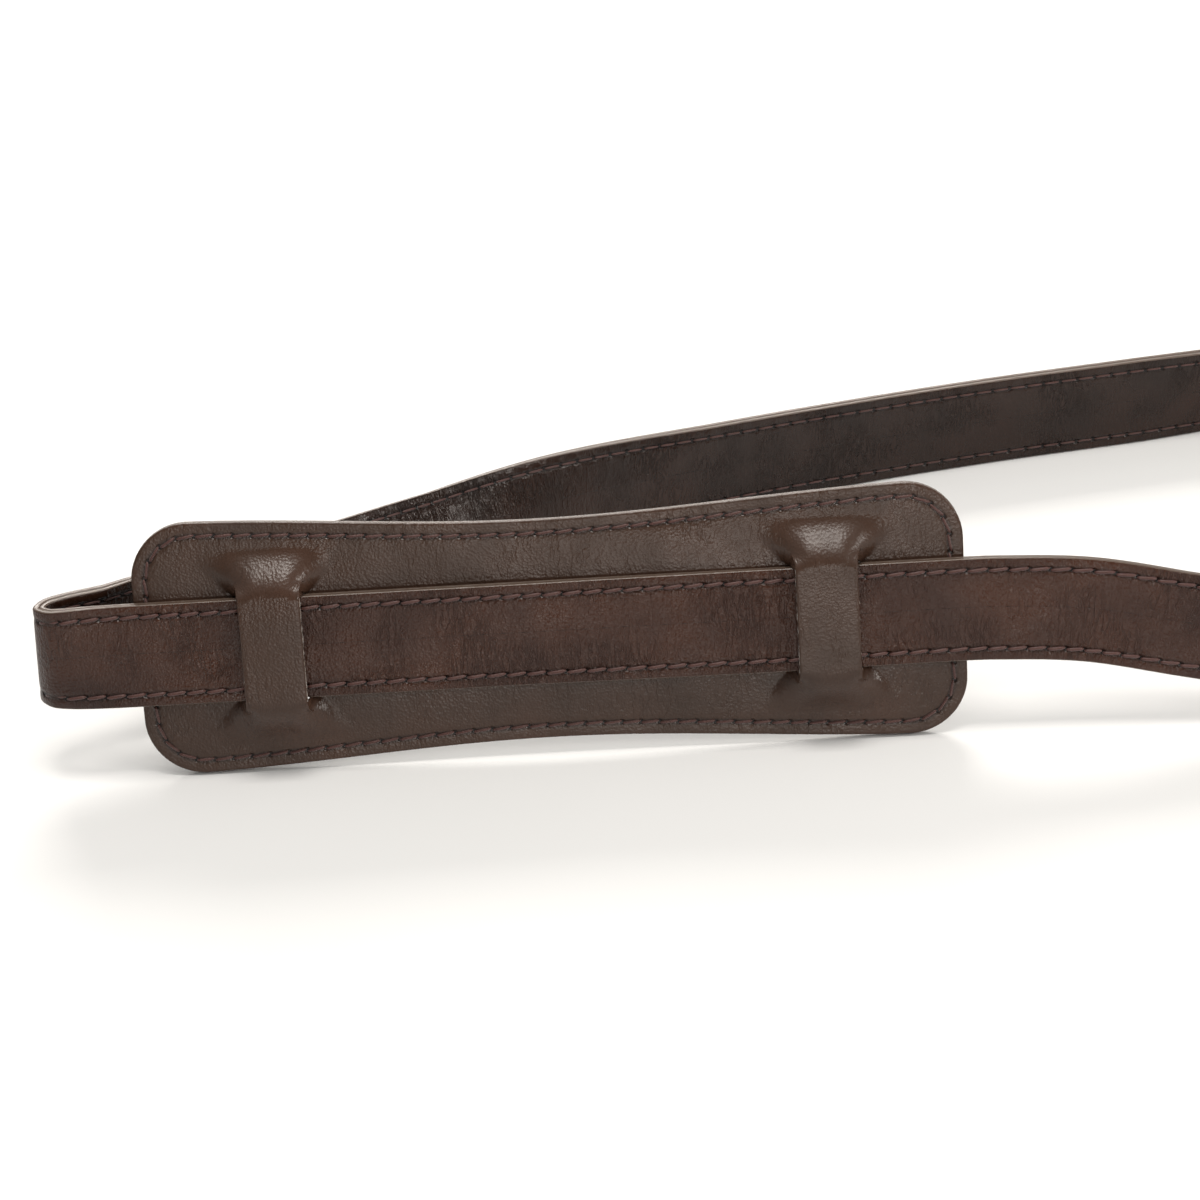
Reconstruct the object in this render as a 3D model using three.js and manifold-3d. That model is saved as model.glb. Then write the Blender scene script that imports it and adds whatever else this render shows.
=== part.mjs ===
// Two-ply stitched leather guitar strap with a sliding shoulder pad, a tongue
// buckle and two button-hole end tabs, laid out folded on a table.
// Millimetres, +X along the straight run through the pad, +Z up.
import * as THREE from 'three';
import { mergeVertices } from 'three/addons/utils/BufferGeometryUtils.js';
import Module from 'manifold-3d';

const wasm = await Module();
wasm.setup();

// ---------------------------------------------------------------- sizes, mm
const GAP = 0.3;                 // between pieces that touch
const CUT = 20;                  // how far a cutting tool runs past a piece

const STRAP_WIDTH = 25;
const STRAP_FACE_PLY = 1.4;
const STRAP_LINING_PLY = 1.2;
const STRAP_THREAD_INSET = 2.9;  // thread row to strap edge

const THREAD_WIDTH = 0.55;
const THREAD_HEIGHT = 0.3;
const THREAD_SIDE_ROOM = 0.27;   // groove wall to thread

const PAD_LENGTH = 197;
const PAD_END_WIDTH = 62;
const PAD_WAIST_WIDTH = 53.6;
const PAD_WAIST_REACH = 95;      // from the waist to where the flare ends
const PAD_CORNER = 14;
const PAD_FACE_PLY = 1.2;
const PAD_LINING_PLY = 1.0;
const PAD_THREAD_INSET = 3.2;
const PAD_RUNNING_ROOM = 0.55;   // strap face to pad, and strap to bridge
const BRIDGE_WIDTH = 14.7;
const BRIDGE_SPACING = 131.5;    // between the two bridges, centre to centre
const SLOT_WIDTH = 1.6;
const SLOT_SIDE_ROOM = 3;        // strap edge to slot end
const BRIDGE_SHOULDER = 10.6;    // height over which the bridge rises
const BRIDGE_EDGE_ROOM = 0.9;    // strap edge to the foot of the shoulder

const FOLD_TO_PAD = 24.5;        // fold to the near end of the pad
const RUN_LEAN = 17;             // the pad and its run lean back, degrees

const TAB_THICK = 3;
const TAB_NECK = 27;
const TAB_HEAD_RADIUS = 16.5;
const TAB_HOLE_AT = 64;          // from the tab's inner end to its hole
const TAB_HOLE_RADIUS = 4.6;
const TAB_SLIT_LENGTH = 9;
const TAB_SLIT_WIDTH = 1.6;
const TAB_OVERLAP = 37;          // strap end lying on the tab
const TAB_RIVETS_AT = [11, 25];  // from the tab's inner end
const TAB_CORNER = 4;

const RIVET_POST_RADIUS = 1.6;
const RIVET_CAP_RADIUS = 4;
const RIVET_CAP_RIM = 0.4;
const RIVET_CAP_DOME = 0.9;

const CHAPE_PLY = 1.2;
const CHAPE_WIDTH = 24;
const CHAPE_LEG = 33;
const CHAPE_TONGUE_SLOT = 5.2;
const CHAPE_FLOOR_ROOM = 0.2;

const BAR_RADIUS = 1.4;
const BAR_ROOM = 0.35;           // bar to what turns on it
const FRAME_REACH = 24;          // heel bar to front bar
const FRAME_TILT = 4.9;          // front bar raised over the billet, degrees
const FRAME_RAIL = 2.8;
const FRAME_THICK = 2.6;
const FRAME_SIDE_ROOM = 1.1;     // strap edge to rail
const FRAME_CORNER = 4;
const ROLLER_WALL = 0.55;
const ROLLER_SIDE_ROOM = 0.6;

const TONGUE_WIDTH = 3.2;
const TONGUE_THICK = 1.7;
const TONGUE_EYE_WALL = 1;
const TONGUE_OVERHANG = 4.5;     // past the front bar

const BILLET_WIDTH = 21;
const BILLET_PLY = 0.95;
const BILLET_THREAD_INSET = 2.4;
const BILLET_HOLE_RADIUS = 1.8;
const BILLET_HOLE_STEP = 20;
const BILLET_USED_HOLE = [0.9, 11.2]; // the drawn-out hole, from the heel bar

const KEEPER_WIDTH = 8;
const KEEPER_WALL = 1.1;
const KEEPER_ROOM = 0.35;
const KEEPER_SIDE_ROOM = 0.7;
const KEEPER_CORNER = 2;
const FIXED_KEEPER_AT = -43;     // middle, from the heel bar
const SLIDING_KEEPER_AT = -58;

const BUCKLE_X = 468;            // heel bar, from the fold
const BUCKLE_Y = 146;
const FRONT_TAB_X = 425;         // inner end of the front end tab
const FRONT_TAB_Y = 3;
const REAR_TAB_X = BUCKLE_X + 80;
const PAD_FLOOR_ROOM = 0.04;     // the pad's lower corners hang just clear of the floor
const BILLET_OVER_ROOM = 0.5;    // the billet over the chape
const BILLET_ON_ROOM = 0.35;     // the billet on the strap
const STRAP_END_ROOM = 0.6;      // the strap's cut end, to the tongue's eye
const BRIDGE_FOOT = 0.6;          // flat foot of a bridge, past its rise
const FRAME_NEAR_LIP = 0.2;      // rail past the heel bar
const FRAME_FAR_LIP = 0.6;       // rail past the roller's bar
const THREAD_SINK = 0.02;        // a row's top, below the leather's face
const TONGUE_HOLE_ROOM = 0.6;    // each side of the tongue in the hole it is fastened through
const TONGUE_ROOT_X = 2;         // where the tongue's underside leaves its eye
const TONGUE_ROOT_Z = 1.2;
const TONGUE_NECK = 0.7;         // the tongue's top over its eye's bore
const TONGUE_TIP = 2.2;          // length of the turned tip
const TONGUE_TIP_DROP = 0.7;
const RIVET_DOME_SHARE = 0.6;    // radius at which a cap's dome starts, of the cap's
const MEETING_SPAN = 5;          // greatest width of one span where two plies meet

// ----------------------------------------------------- sizes that follow
const STRAP_THICK = STRAP_FACE_PLY + GAP + STRAP_LINING_PLY;
const BILLET_THICK = 2 * BILLET_PLY + GAP;
const PAD_THICK = PAD_FACE_PLY + GAP + PAD_LINING_PLY;
const lean = THREE.MathUtils.degToRad(RUN_LEAN);
const PAD_BACK = STRAP_THICK / 2 + PAD_RUNNING_ROOM + PAD_THICK;
const RUN_CENTRE = PAD_END_WIDTH / 2 * Math.cos(lean) + PAD_BACK * Math.sin(lean) + PAD_FLOOR_ROOM;
const RUN_LIFT = RUN_CENTRE - STRAP_WIDTH / 2 * Math.cos(lean) - STRAP_THICK / 2 * Math.sin(lean);
const TAB_LIFT = TAB_THICK + GAP;
const BUCKLE_LIFT = CHAPE_FLOOR_ROOM + CHAPE_PLY + GAP;
const HEEL_BAR_Z = BUCKLE_LIFT + STRAP_THICK / 2;
const BILLET_OVER = BUCKLE_LIFT + STRAP_THICK + GAP + CHAPE_PLY + BILLET_OVER_ROOM;
const BILLET_ON_STRAP = BUCKLE_LIFT + STRAP_THICK + BILLET_ON_ROOM;

// ---------------------------------------------------------------- materials
const leather = new THREE.MeshStandardMaterial({ color: 0x46342c, roughness: 0.42 });
const padLeather = new THREE.MeshStandardMaterial({ color: 0x4a3a33, roughness: 0.4 });
const lining = new THREE.MeshStandardMaterial({ color: 0x4b3426, roughness: 0.38 });
const thread = new THREE.MeshStandardMaterial({ color: 0x4d2e28, roughness: 0.8 });
const brass = new THREE.MeshStandardMaterial({ color: 0x9a7b4a, roughness: 0.35, metalness: 1 });

// ------------------------------------------------------- solids and booleans
function toSolid(geometry) {
  const bare = geometry.clone();
  bare.deleteAttribute('normal');
  bare.deleteAttribute('uv');
  const merged = mergeVertices(bare, 1e-4);
  return new wasm.Manifold(new wasm.Mesh({
    numProp: 3,
    vertProperties: new Float32Array(merged.attributes.position.array),
    triVerts: new Uint32Array(merged.index.array),
  }));
}

function toGeometry(solid) {
  const mesh = solid.getMesh();
  const geometry = new THREE.BufferGeometry();
  geometry.setAttribute('position', new THREE.BufferAttribute(new Float32Array(mesh.vertProperties), 3));
  geometry.setIndex(new THREE.BufferAttribute(new Uint32Array(mesh.triVerts), 1));
  geometry.computeVertexNormals();
  return geometry;
}

function box(x0, x1, y0, y1, z0, z1) {
  const geometry = new THREE.BoxGeometry(x1 - x0, y1 - y0, z1 - z0);
  return toSolid(geometry.translate((x0 + x1) / 2, (y0 + y1) / 2, (z0 + z1) / 2));
}

function plate(shape, z0, z1) {
  const geometry = new THREE.ExtrudeGeometry(shape, { depth: z1 - z0, bevelEnabled: false, steps: 1 });
  return toSolid(geometry.translate(0, 0, z0));
}

// A side view drawn in X and Z, given a width in Y about a centre.
function sideCut(shape, y, width) {
  const geometry = new THREE.ExtrudeGeometry(shape, { depth: width, bevelEnabled: false, steps: 1 });
  return toSolid(geometry.rotateX(Math.PI / 2).translate(0, y + width / 2, 0));
}

function uprightPost(x, y, radius, z0, z1) {
  const geometry = new THREE.CylinderGeometry(radius, radius, z1 - z0, 12);
  return toSolid(geometry.rotateX(Math.PI / 2).translate(x, y, (z0 + z1) / 2));
}

function subtractAll(solid, tools) {
  return tools.reduce((rest, tool) => rest.subtract(tool), solid);
}

// ------------------------------------------------------ strips along a route
// A row is x, y, height of the lowest edge, lean in degrees and the number of
// facets to the next row. Lean 0 stands on edge, 90 lies flat with the face up.
function stations(rows, width, thick) {
  const points = rows.map(([x, y, lift]) => new THREE.Vector3(x, y, lift));
  const curve = new THREE.CatmullRomCurve3(points, false, 'centripetal');
  const last = rows.length - 1;
  const list = [];
  for (let row = 0; row <= last; row += 1) {
    const facets = row < last ? rows[row][4] : 1;
    for (let facet = 0; facet < facets; facet += 1) {
      const part = facet / facets;
      const next = rows[Math.min(row + 1, last)];
      const angle = THREE.MathUtils.degToRad(THREE.MathUtils.lerp(rows[row][3], next[3], part));
      const centre = curve.getPoint((row + part) / last);
      centre.z += width / 2 * Math.cos(angle) + thick / 2 * Math.sin(angle);
      list.push({ centre, angle });
    }
  }
  return list.map(({ centre, angle }, i) => {
    const before = list[Math.max(i - 1, 0)].centre;
    const after = list[Math.min(i + 1, list.length - 1)].centre;
    const along = after.clone().sub(before).normalize();
    const level = new THREE.Vector3(0, 0, 1).cross(along).normalize();
    const rise = along.clone().cross(level);
    const face = level.clone().multiplyScalar(Math.cos(angle)).addScaledVector(rise, Math.sin(angle));
    const edge = rise.clone().multiplyScalar(Math.cos(angle)).addScaledVector(level, -Math.sin(angle));
    return { centre, face, edge };
  });
}

// The section is drawn with X towards the face and Y towards the upper edge.
function strip(section, route) {
  const depth = route.length - 1;
  const geometry = new THREE.ExtrudeGeometry(section, { depth, steps: depth, bevelEnabled: false });
  const position = geometry.attributes.position;
  const point = new THREE.Vector3();
  for (let i = 0; i < position.count; i += 1) {
    const { centre, face, edge } = route[Math.round(position.getZ(i))];
    point.copy(centre);
    point.addScaledVector(face, position.getX(i)).addScaledVector(edge, position.getY(i));
    position.setXYZ(i, point.x, point.y, point.z);
  }
  return toSolid(geometry);
}

function rectangle(x0, x1, y0, y1) {
  const corners = [[x0, y0], [x1, y0], [x1, y1], [x0, y1]];
  return new THREE.Shape(corners.map(([x, y]) => new THREE.Vector2(x, y)));
}

// Points across the side where two plies meet, from one edge to the other, so
// that both plies follow a twist alike.
function meetingSide(x, from, to) {
  const spans = Math.ceil(Math.abs(to - from) / MEETING_SPAN);
  return Array.from({ length: spans + 1 }, (_, i) => [x, from + (to - from) * i / spans]);
}

function liningSection(outer, ply, width) {
  const half = width / 2;
  const points = [[-outer, half], [-outer, -half], ...meetingSide(ply - outer, -half, half)];
  return new THREE.Shape(points.map(([x, y]) => new THREE.Vector2(x, y)));
}

// A face ply with a thread groove near each edge.
function groovedSection(inner, outer, width, inset) {
  const half = width / 2;
  const near = half - inset + THREAD_WIDTH / 2 + THREAD_SIDE_ROOM;
  const far = half - inset - THREAD_WIDTH / 2 - THREAD_SIDE_ROOM;
  const floor = outer - 2 * THREAD_HEIGHT;
  const points = [
    [outer, -half], [outer, -near], [floor, -near], [floor, -far], [outer, -far],
    [outer, far], [floor, far], [floor, near], [outer, near], [outer, half],
    ...meetingSide(inner, half, -half),
  ];
  return new THREE.Shape(points.map(([x, y]) => new THREE.Vector2(x, y)));
}

function threadSection(outer, row) {
  return rectangle(outer - THREAD_HEIGHT, outer, row - THREAD_WIDTH / 2, row + THREAD_WIDTH / 2);
}

const strapRoute = stations([
  [FRONT_TAB_X + TAB_OVERLAP, FRONT_TAB_Y, TAB_LIFT, 90, 1],
  [FRONT_TAB_X + 10, FRONT_TAB_Y, TAB_LIFT, 90, 1],
  [FRONT_TAB_X - 4, FRONT_TAB_Y, TAB_LIFT, 90, 2],
  [395, 3, 2.2, 90, 3],
  [370, 1.5, 0.8, 80, 4],
  [345, -0.5, 0.8, 58, 4],
  [320, -2, 2.5, 34, 4],
  [298, -2.5, 6.5, 20, 3],
  [275, -2, 11.5, 14.5, 3],
  [250, -0.9, RUN_LIFT - 2.6, 15.5, 3],
  [229, 0, RUN_LIFT - 0.2, RUN_LEAN, 2],
  [222, 0, RUN_LIFT, RUN_LEAN, 1],
  [200, 0, RUN_LIFT, RUN_LEAN, 1],
  [30, 0, RUN_LIFT, RUN_LEAN, 1],
  [20, 0, RUN_LIFT, RUN_LEAN, 2],
  [14, -0.1, RUN_LIFT, 15.5, 2],
  [8, -0.2, RUN_LIFT, 11, 2],
  [4.2, 0.4, RUN_LIFT, 8, 3],
  [1.6, 3.3, RUN_LIFT - 0.1, 4, 3],
  [3.4, 6.6, RUN_LIFT - 0.1, 2, 3],
  [8, 8.9, RUN_LIFT - 0.2, 0, 2],
  [16.5, 12.1, RUN_LIFT - 0.5, 0, 2],
  [26.9, 17.4, RUN_LIFT - 1.1, 0, 3],
  [61.1, 39.6, RUN_LIFT - 4.2, 0, 3],
  [94.1, 64.5, 10.1, 0, 3],
  [124.8, 86.1, 5.9, 0, 3],
  [162.6, 104.4, 1.7, 0, 3],
  [195.4, 115.3, 0.3, 0, 2],
  [239.3, 124.9, 0.1, 0, 2],
  [283.3, 132.2, 0.1, 0, 2],
  [305, 136, 0.1, 4, 3],
  [328, 139.6, 0.4, 25, 4],
  [350, 142.6, 0.7, 52, 4],
  [372, 144.8, 1.1, 78, 4],
  [BUCKLE_X - 80, BUCKLE_Y, BUCKLE_LIFT, 90, 2],
  [BUCKLE_X - 74, BUCKLE_Y, BUCKLE_LIFT, 90, 1],
  [BUCKLE_X - 10, BUCKLE_Y, BUCKLE_LIFT, 90, 1],
  [BUCKLE_X - BAR_RADIUS - BAR_ROOM - TONGUE_EYE_WALL - STRAP_END_ROOM, BUCKLE_Y, BUCKLE_LIFT, 90, 1],
], STRAP_WIDTH, STRAP_THICK);

const billetRoute = stations([
  [BUCKLE_X - 76, BUCKLE_Y, BILLET_ON_STRAP, 90, 1],
  [BUCKLE_X - 55, BUCKLE_Y, BILLET_ON_STRAP, 90, 1],
  [BUCKLE_X - 50, BUCKLE_Y, BILLET_ON_STRAP + 0.1, 90, 3],
  [BUCKLE_X - 37, BUCKLE_Y, BILLET_OVER - 0.1, 90, 1],
  [BUCKLE_X - 30, BUCKLE_Y, BILLET_OVER, 90, 1],
  [BUCKLE_X - 1, BUCKLE_Y, BILLET_OVER, 90, 1],
  [BUCKLE_X + 3, BUCKLE_Y, BILLET_OVER - 0.5, 90, 2],
  [BUCKLE_X + 10, BUCKLE_Y, 3.1, 90, 2],
  [BUCKLE_X + 14, BUCKLE_Y, 1.6, 90, 2],
  [BUCKLE_X + 19, BUCKLE_Y, 0.6, 90, 2],
  [BUCKLE_X + 25, BUCKLE_Y, 0.3, 90, 1],
  [BUCKLE_X + 60, BUCKLE_Y, 0.3, 90, 2],
  [REAR_TAB_X - 9, BUCKLE_Y, 1.3, 90, 2],
  [REAR_TAB_X - 2, BUCKLE_Y, TAB_LIFT, 90, 1],
  [REAR_TAB_X + 6, BUCKLE_Y, TAB_LIFT, 90, 1],
  [REAR_TAB_X + TAB_OVERLAP, BUCKLE_Y, TAB_LIFT, 90, 1],
], BILLET_WIDTH, BILLET_THICK);

// --------------------------------------------------------------- end tabs
// Inner end at x = 0, head towards +X, a round hole with a slit for a button.
function tabShape() {
  const neck = TAB_NECK / 2;
  const headStart = THREE.MathUtils.degToRad(110);
  const headX = TAB_HOLE_AT + TAB_HEAD_RADIUS * Math.cos(headStart);
  const headY = TAB_HEAD_RADIUS * Math.sin(headStart);
  const shape = new THREE.Shape();
  shape.moveTo(TAB_CORNER, -neck);
  shape.lineTo(TAB_OVERLAP + 4, -neck);
  shape.quadraticCurveTo(headX - 9, -neck, headX, -headY);
  shape.absarc(TAB_HOLE_AT, 0, TAB_HEAD_RADIUS, -headStart, headStart, false);
  shape.quadraticCurveTo(headX - 9, neck, TAB_OVERLAP + 4, neck);
  shape.lineTo(TAB_CORNER, neck);
  shape.absarc(TAB_CORNER, neck - TAB_CORNER, TAB_CORNER, Math.PI / 2, Math.PI, false);
  shape.absarc(TAB_CORNER, TAB_CORNER - neck, TAB_CORNER, Math.PI, 1.5 * Math.PI, false);

  const mouth = Math.asin(TAB_SLIT_WIDTH / 2 / TAB_HOLE_RADIUS);
  const hole = new THREE.Path();
  hole.absarc(TAB_HOLE_AT, 0, TAB_HOLE_RADIUS, mouth - Math.PI, Math.PI - mouth, false);
  hole.lineTo(TAB_HOLE_AT - TAB_HOLE_RADIUS - TAB_SLIT_LENGTH, TAB_SLIT_WIDTH / 2);
  hole.lineTo(TAB_HOLE_AT - TAB_HOLE_RADIUS - TAB_SLIT_LENGTH, -TAB_SLIT_WIDTH / 2);
  hole.closePath();
  shape.holes.push(hole);
  return shape;
}

function endTab(x, y) {
  const blank = plate(tabShape(), 0, TAB_THICK).translate([x, y, 0]);
  return subtractAll(blank, rivetBores(x, y));
}

function rivetBores(x, y) {
  return TAB_RIVETS_AT.map((at) => uprightPost(x + at, y, RIVET_POST_RADIUS + GAP, -CUT, CUT));
}

// A cap rivet, from inside the tab to above the leather.
function rivet(x, y, leatherThick) {
  const seat = TAB_LIFT + leatherThick + GAP;
  const profile = [
    [0, GAP], [RIVET_POST_RADIUS, GAP], [RIVET_POST_RADIUS, seat], [RIVET_CAP_RADIUS, seat],
    [RIVET_CAP_RADIUS, seat + RIVET_CAP_RIM], [RIVET_CAP_RADIUS * RIVET_DOME_SHARE, seat + RIVET_CAP_DOME],
    [0, seat + RIVET_CAP_RIM + RIVET_CAP_DOME],
  ].map(([radius, height]) => new THREE.Vector2(radius, height));
  return toSolid(new THREE.LatheGeometry(profile, 16).rotateX(Math.PI / 2).translate(x, y, 0));
}

// --------------------------------------------------------------- strap plies
const faceOuter = STRAP_THICK / 2;
const faceInner = faceOuter - STRAP_FACE_PLY;
const threadRow = STRAP_WIDTH / 2 - STRAP_THREAD_INSET;
const threadTop = faceOuter - THREAD_SINK;
const frontBores = rivetBores(FRONT_TAB_X, FRONT_TAB_Y);

function strapFace() {
  const section = groovedSection(faceInner, faceOuter, STRAP_WIDTH, STRAP_THREAD_INSET);
  return subtractAll(strip(section, strapRoute), frontBores);
}

function strapLining() {
  const section = liningSection(faceOuter, STRAP_LINING_PLY, STRAP_WIDTH);
  return subtractAll(strip(section, strapRoute), frontBores);
}

// ---------------------------------------------------------------------- pad
// Drawn in the pad's own plane: x along the strap, y across, z to the face.
function padOutline(inset) {
  const endX = PAD_LENGTH / 2 - inset;
  const corner = PAD_CORNER - inset;
  const cornerX = endX - corner;
  const halfWidth = (x) => {
    const flare = (1 - Math.cos(Math.PI * Math.min(Math.abs(x) / PAD_WAIST_REACH, 1))) / 2;
    return (PAD_WAIST_WIDTH + (PAD_END_WIDTH - PAD_WAIST_WIDTH) * flare) / 2 - inset;
  };
  const points = [];
  const edgeSteps = 14;
  const cornerSteps = 5;
  for (let i = 0; i < edgeSteps; i += 1) {
    const x = -cornerX + 2 * cornerX * i / edgeSteps;
    points.push(new THREE.Vector2(x, -halfWidth(x)));
  }
  const cornerY = halfWidth(cornerX) - corner;
  for (const side of [-1, 1]) {
    for (let i = 0; i <= cornerSteps; i += 1) {
      const turn = Math.PI / 2 * (i / cornerSteps + (side - 1) / 2);
      const x = cornerX + corner * Math.cos(turn);
      points.push(new THREE.Vector2(x, side * cornerY + corner * Math.sin(turn)));
    }
  }
  points.pop();
  return points.concat(points.map((p) => new THREE.Vector2(-p.x, -p.y)));
}

function ring(outerInset, innerInset, z0, z1) {
  const shape = new THREE.Shape(padOutline(outerInset));
  shape.holes.push(new THREE.Path(padOutline(innerInset)));
  return plate(shape, z0, z1);
}

// One bridge: a strip that rises from the pad's level to pass over the strap.
function bridge(x, back, ply) {
  const low = -STRAP_THICK / 2 - PAD_RUNNING_ROOM - PAD_THICK + back;
  const high = STRAP_THICK / 2 + PAD_RUNNING_ROOM + back;
  const top = STRAP_WIDTH / 2 + BRIDGE_EDGE_ROOM;
  const steps = 7;
  const rising = [];
  for (let i = 0; i <= steps; i += 1) {
    const share = i / steps;
    rising.push([-top - BRIDGE_SHOULDER * (1 - share), low + (high - low) * (1 - Math.cos(Math.PI * share)) / 2]);
  }
  rising.unshift([-top - BRIDGE_SHOULDER - BRIDGE_FOOT, low]);
  const under = rising.concat(rising.map(([y, z]) => [-y, z]).reverse());
  const over = under.map(([y, z]) => [y, z + ply]).reverse();
  const section = new THREE.Shape(under.concat(over).map(([y, z]) => new THREE.Vector2(y, z)));
  const geometry = new THREE.ExtrudeGeometry(section, { depth: BRIDGE_WIDTH, bevelEnabled: false, steps: 1 });
  geometry.rotateY(Math.PI / 2).rotateX(Math.PI / 2);
  return toSolid(geometry.translate(x - BRIDGE_WIDTH / 2, 0, 0));
}

// A pad ply from its back height above the pad's back: a plate with four
// slots, its strip between each pair of slots replaced by a bridge.
function padPly(back, ply) {
  const z0 = -STRAP_THICK / 2 - PAD_RUNNING_ROOM - PAD_THICK + back;
  const slotEnd = STRAP_WIDTH / 2 + SLOT_SIDE_ROOM;
  const shoulderEnd = STRAP_WIDTH / 2 + BRIDGE_EDGE_ROOM + BRIDGE_SHOULDER;
  const slotHalf = BRIDGE_WIDTH / 2 + SLOT_WIDTH;
  const stripHalf = BRIDGE_WIDTH / 2 + GAP;
  let solid = plate(new THREE.Shape(padOutline(0)), z0, z0 + ply);
  for (const x of [-BRIDGE_SPACING / 2, BRIDGE_SPACING / 2]) {
    solid = solid.subtract(box(x - slotHalf, x + slotHalf, -slotEnd, slotEnd, z0 - 1, z0 + ply + 1));
    solid = solid.subtract(box(x - stripHalf, x + stripHalf, -shoulderEnd, shoulderEnd, z0 - 1, z0 + ply + 1));
    solid = solid.add(bridge(x, back, ply));
  }
  return solid;
}

const padFaceTop = -STRAP_THICK / 2 - PAD_RUNNING_ROOM;
const threadHalf = THREAD_WIDTH / 2;
const grooveHalf = threadHalf + THREAD_SIDE_ROOM;

function padFace() {
  const groove = ring(PAD_THREAD_INSET - grooveHalf, PAD_THREAD_INSET + grooveHalf,
    padFaceTop - 2 * THREAD_HEIGHT, padFaceTop + 1);
  return padPly(PAD_LINING_PLY + GAP, PAD_FACE_PLY).subtract(groove);
}

function padThread() {
  return ring(PAD_THREAD_INSET - threadHalf, PAD_THREAD_INSET + threadHalf,
    padFaceTop - THREAD_HEIGHT - THREAD_SINK, padFaceTop - THREAD_SINK);
}

// ------------------------------------------------------------------- buckle
const foldInner = STRAP_THICK / 2 + GAP;
const foldOuter = foldInner + CHAPE_PLY;
const railInner = STRAP_WIDTH / 2 + FRAME_SIDE_ROOM;
const railOuter = railInner + FRAME_RAIL;

// The strip of leather folded round the heel bar, its legs over and under
// the end of the strap, with a slot for the tongue.
function chape() {
  const shape = new THREE.Shape();
  shape.moveTo(-CHAPE_LEG, -foldOuter);
  shape.absarc(0, 0, foldOuter, -Math.PI / 2, Math.PI / 2, false);
  shape.lineTo(-CHAPE_LEG, foldOuter);
  shape.lineTo(-CHAPE_LEG, foldInner);
  shape.absarc(0, 0, foldInner, Math.PI / 2, -Math.PI / 2, true);
  shape.lineTo(-CHAPE_LEG, -foldInner);
  shape.closePath();
  const slotHalf = CHAPE_TONGUE_SLOT / 2;
  const tongueSlot = box(-5, CUT, -slotHalf, slotHalf, -CUT, CUT);
  return sideCut(shape, 0, CHAPE_WIDTH).subtract(tongueSlot);
}

function crossBar(x, radius, halfLength, sides) {
  return toSolid(new THREE.CylinderGeometry(radius, radius, 2 * halfLength, sides).translate(x, 0, 0));
}

function frame() {
  const outline = new THREE.Shape();
  const near = -BAR_RADIUS - FRAME_NEAR_LIP;
  const far = FRAME_REACH + BAR_RADIUS + FRAME_FAR_LIP;
  const r = FRAME_CORNER;
  outline.absarc(far - r, r - railOuter, r, -Math.PI / 2, 0, false);
  outline.absarc(far - r, railOuter - r, r, 0, Math.PI / 2, false);
  outline.absarc(near + r, railOuter - r, r, Math.PI / 2, Math.PI, false);
  outline.absarc(near + r, r - railOuter, r, Math.PI, 1.5 * Math.PI, false);
  const rails = plate(outline, -FRAME_THICK / 2, FRAME_THICK / 2)
    .subtract(box(-CUT, FRAME_REACH + CUT, -railInner, railInner, -CUT, CUT));
  const barHalf = railInner + FRAME_RAIL / 2;
  return rails.add(crossBar(0, BAR_RADIUS, barHalf, 12)).add(crossBar(FRAME_REACH, BAR_RADIUS, barHalf, 12));
}

const rollerOuter = BAR_RADIUS + BAR_ROOM + ROLLER_WALL;

function roller() {
  const inner = BAR_RADIUS + BAR_ROOM;
  const half = railInner - ROLLER_SIDE_ROOM;
  const profile = [[inner, -half], [rollerOuter, -half], [rollerOuter, half], [inner, half], [inner, -half]];
  const geometry = new THREE.LatheGeometry(profile.map(([x, y]) => new THREE.Vector2(x, y)), 16);
  return toSolid(geometry.translate(FRAME_REACH, 0, 0));
}

// The tongue, drawn from the heel bar's centre. Its underside just clears
// the roller.
function tongue() {
  const eyeInner = BAR_RADIUS + BAR_ROOM;
  const eyeOuter = eyeInner + TONGUE_EYE_WALL;
  const tilt = THREE.MathUtils.degToRad(FRAME_TILT);
  const rollerX = FRAME_REACH * Math.cos(tilt);
  const rollerZ = FRAME_REACH * Math.sin(tilt);
  const clear = rollerOuter + GAP;
  const distance = Math.hypot(rollerX - TONGUE_ROOT_X, rollerZ - TONGUE_ROOT_Z);
  const slope = Math.atan2(rollerZ - TONGUE_ROOT_Z, rollerX - TONGUE_ROOT_X) + Math.asin(clear / distance);
  const length = rollerX - TONGUE_ROOT_X + TONGUE_OVERHANG;
  const shape = new THREE.Shape();
  shape.moveTo(TONGUE_ROOT_X, TONGUE_ROOT_Z);
  shape.lineTo(TONGUE_ROOT_X + length - TONGUE_TIP, TONGUE_ROOT_Z + Math.tan(slope) * (length - TONGUE_TIP));
  shape.lineTo(TONGUE_ROOT_X + length - 0.6, TONGUE_ROOT_Z + Math.tan(slope) * length - TONGUE_TIP_DROP);
  shape.lineTo(TONGUE_ROOT_X + length, TONGUE_ROOT_Z + Math.tan(slope) * length + 0.1);
  shape.lineTo(TONGUE_ROOT_X + length - 2.4, TONGUE_ROOT_Z + Math.tan(slope) * (length - 2.4) + TONGUE_THICK);
  shape.lineTo(0.4, eyeInner + TONGUE_NECK);
  shape.closePath();
  const eye = toSolid(new THREE.LatheGeometry([
    [eyeInner, -TONGUE_WIDTH / 2], [eyeOuter, -TONGUE_WIDTH / 2], [eyeOuter, TONGUE_WIDTH / 2],
    [eyeInner, TONGUE_WIDTH / 2], [eyeInner, -TONGUE_WIDTH / 2],
  ].map(([x, y]) => new THREE.Vector2(x, y)), 16));
  return sideCut(shape, 0, TONGUE_WIDTH - 0.2).add(eye);
}

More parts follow.
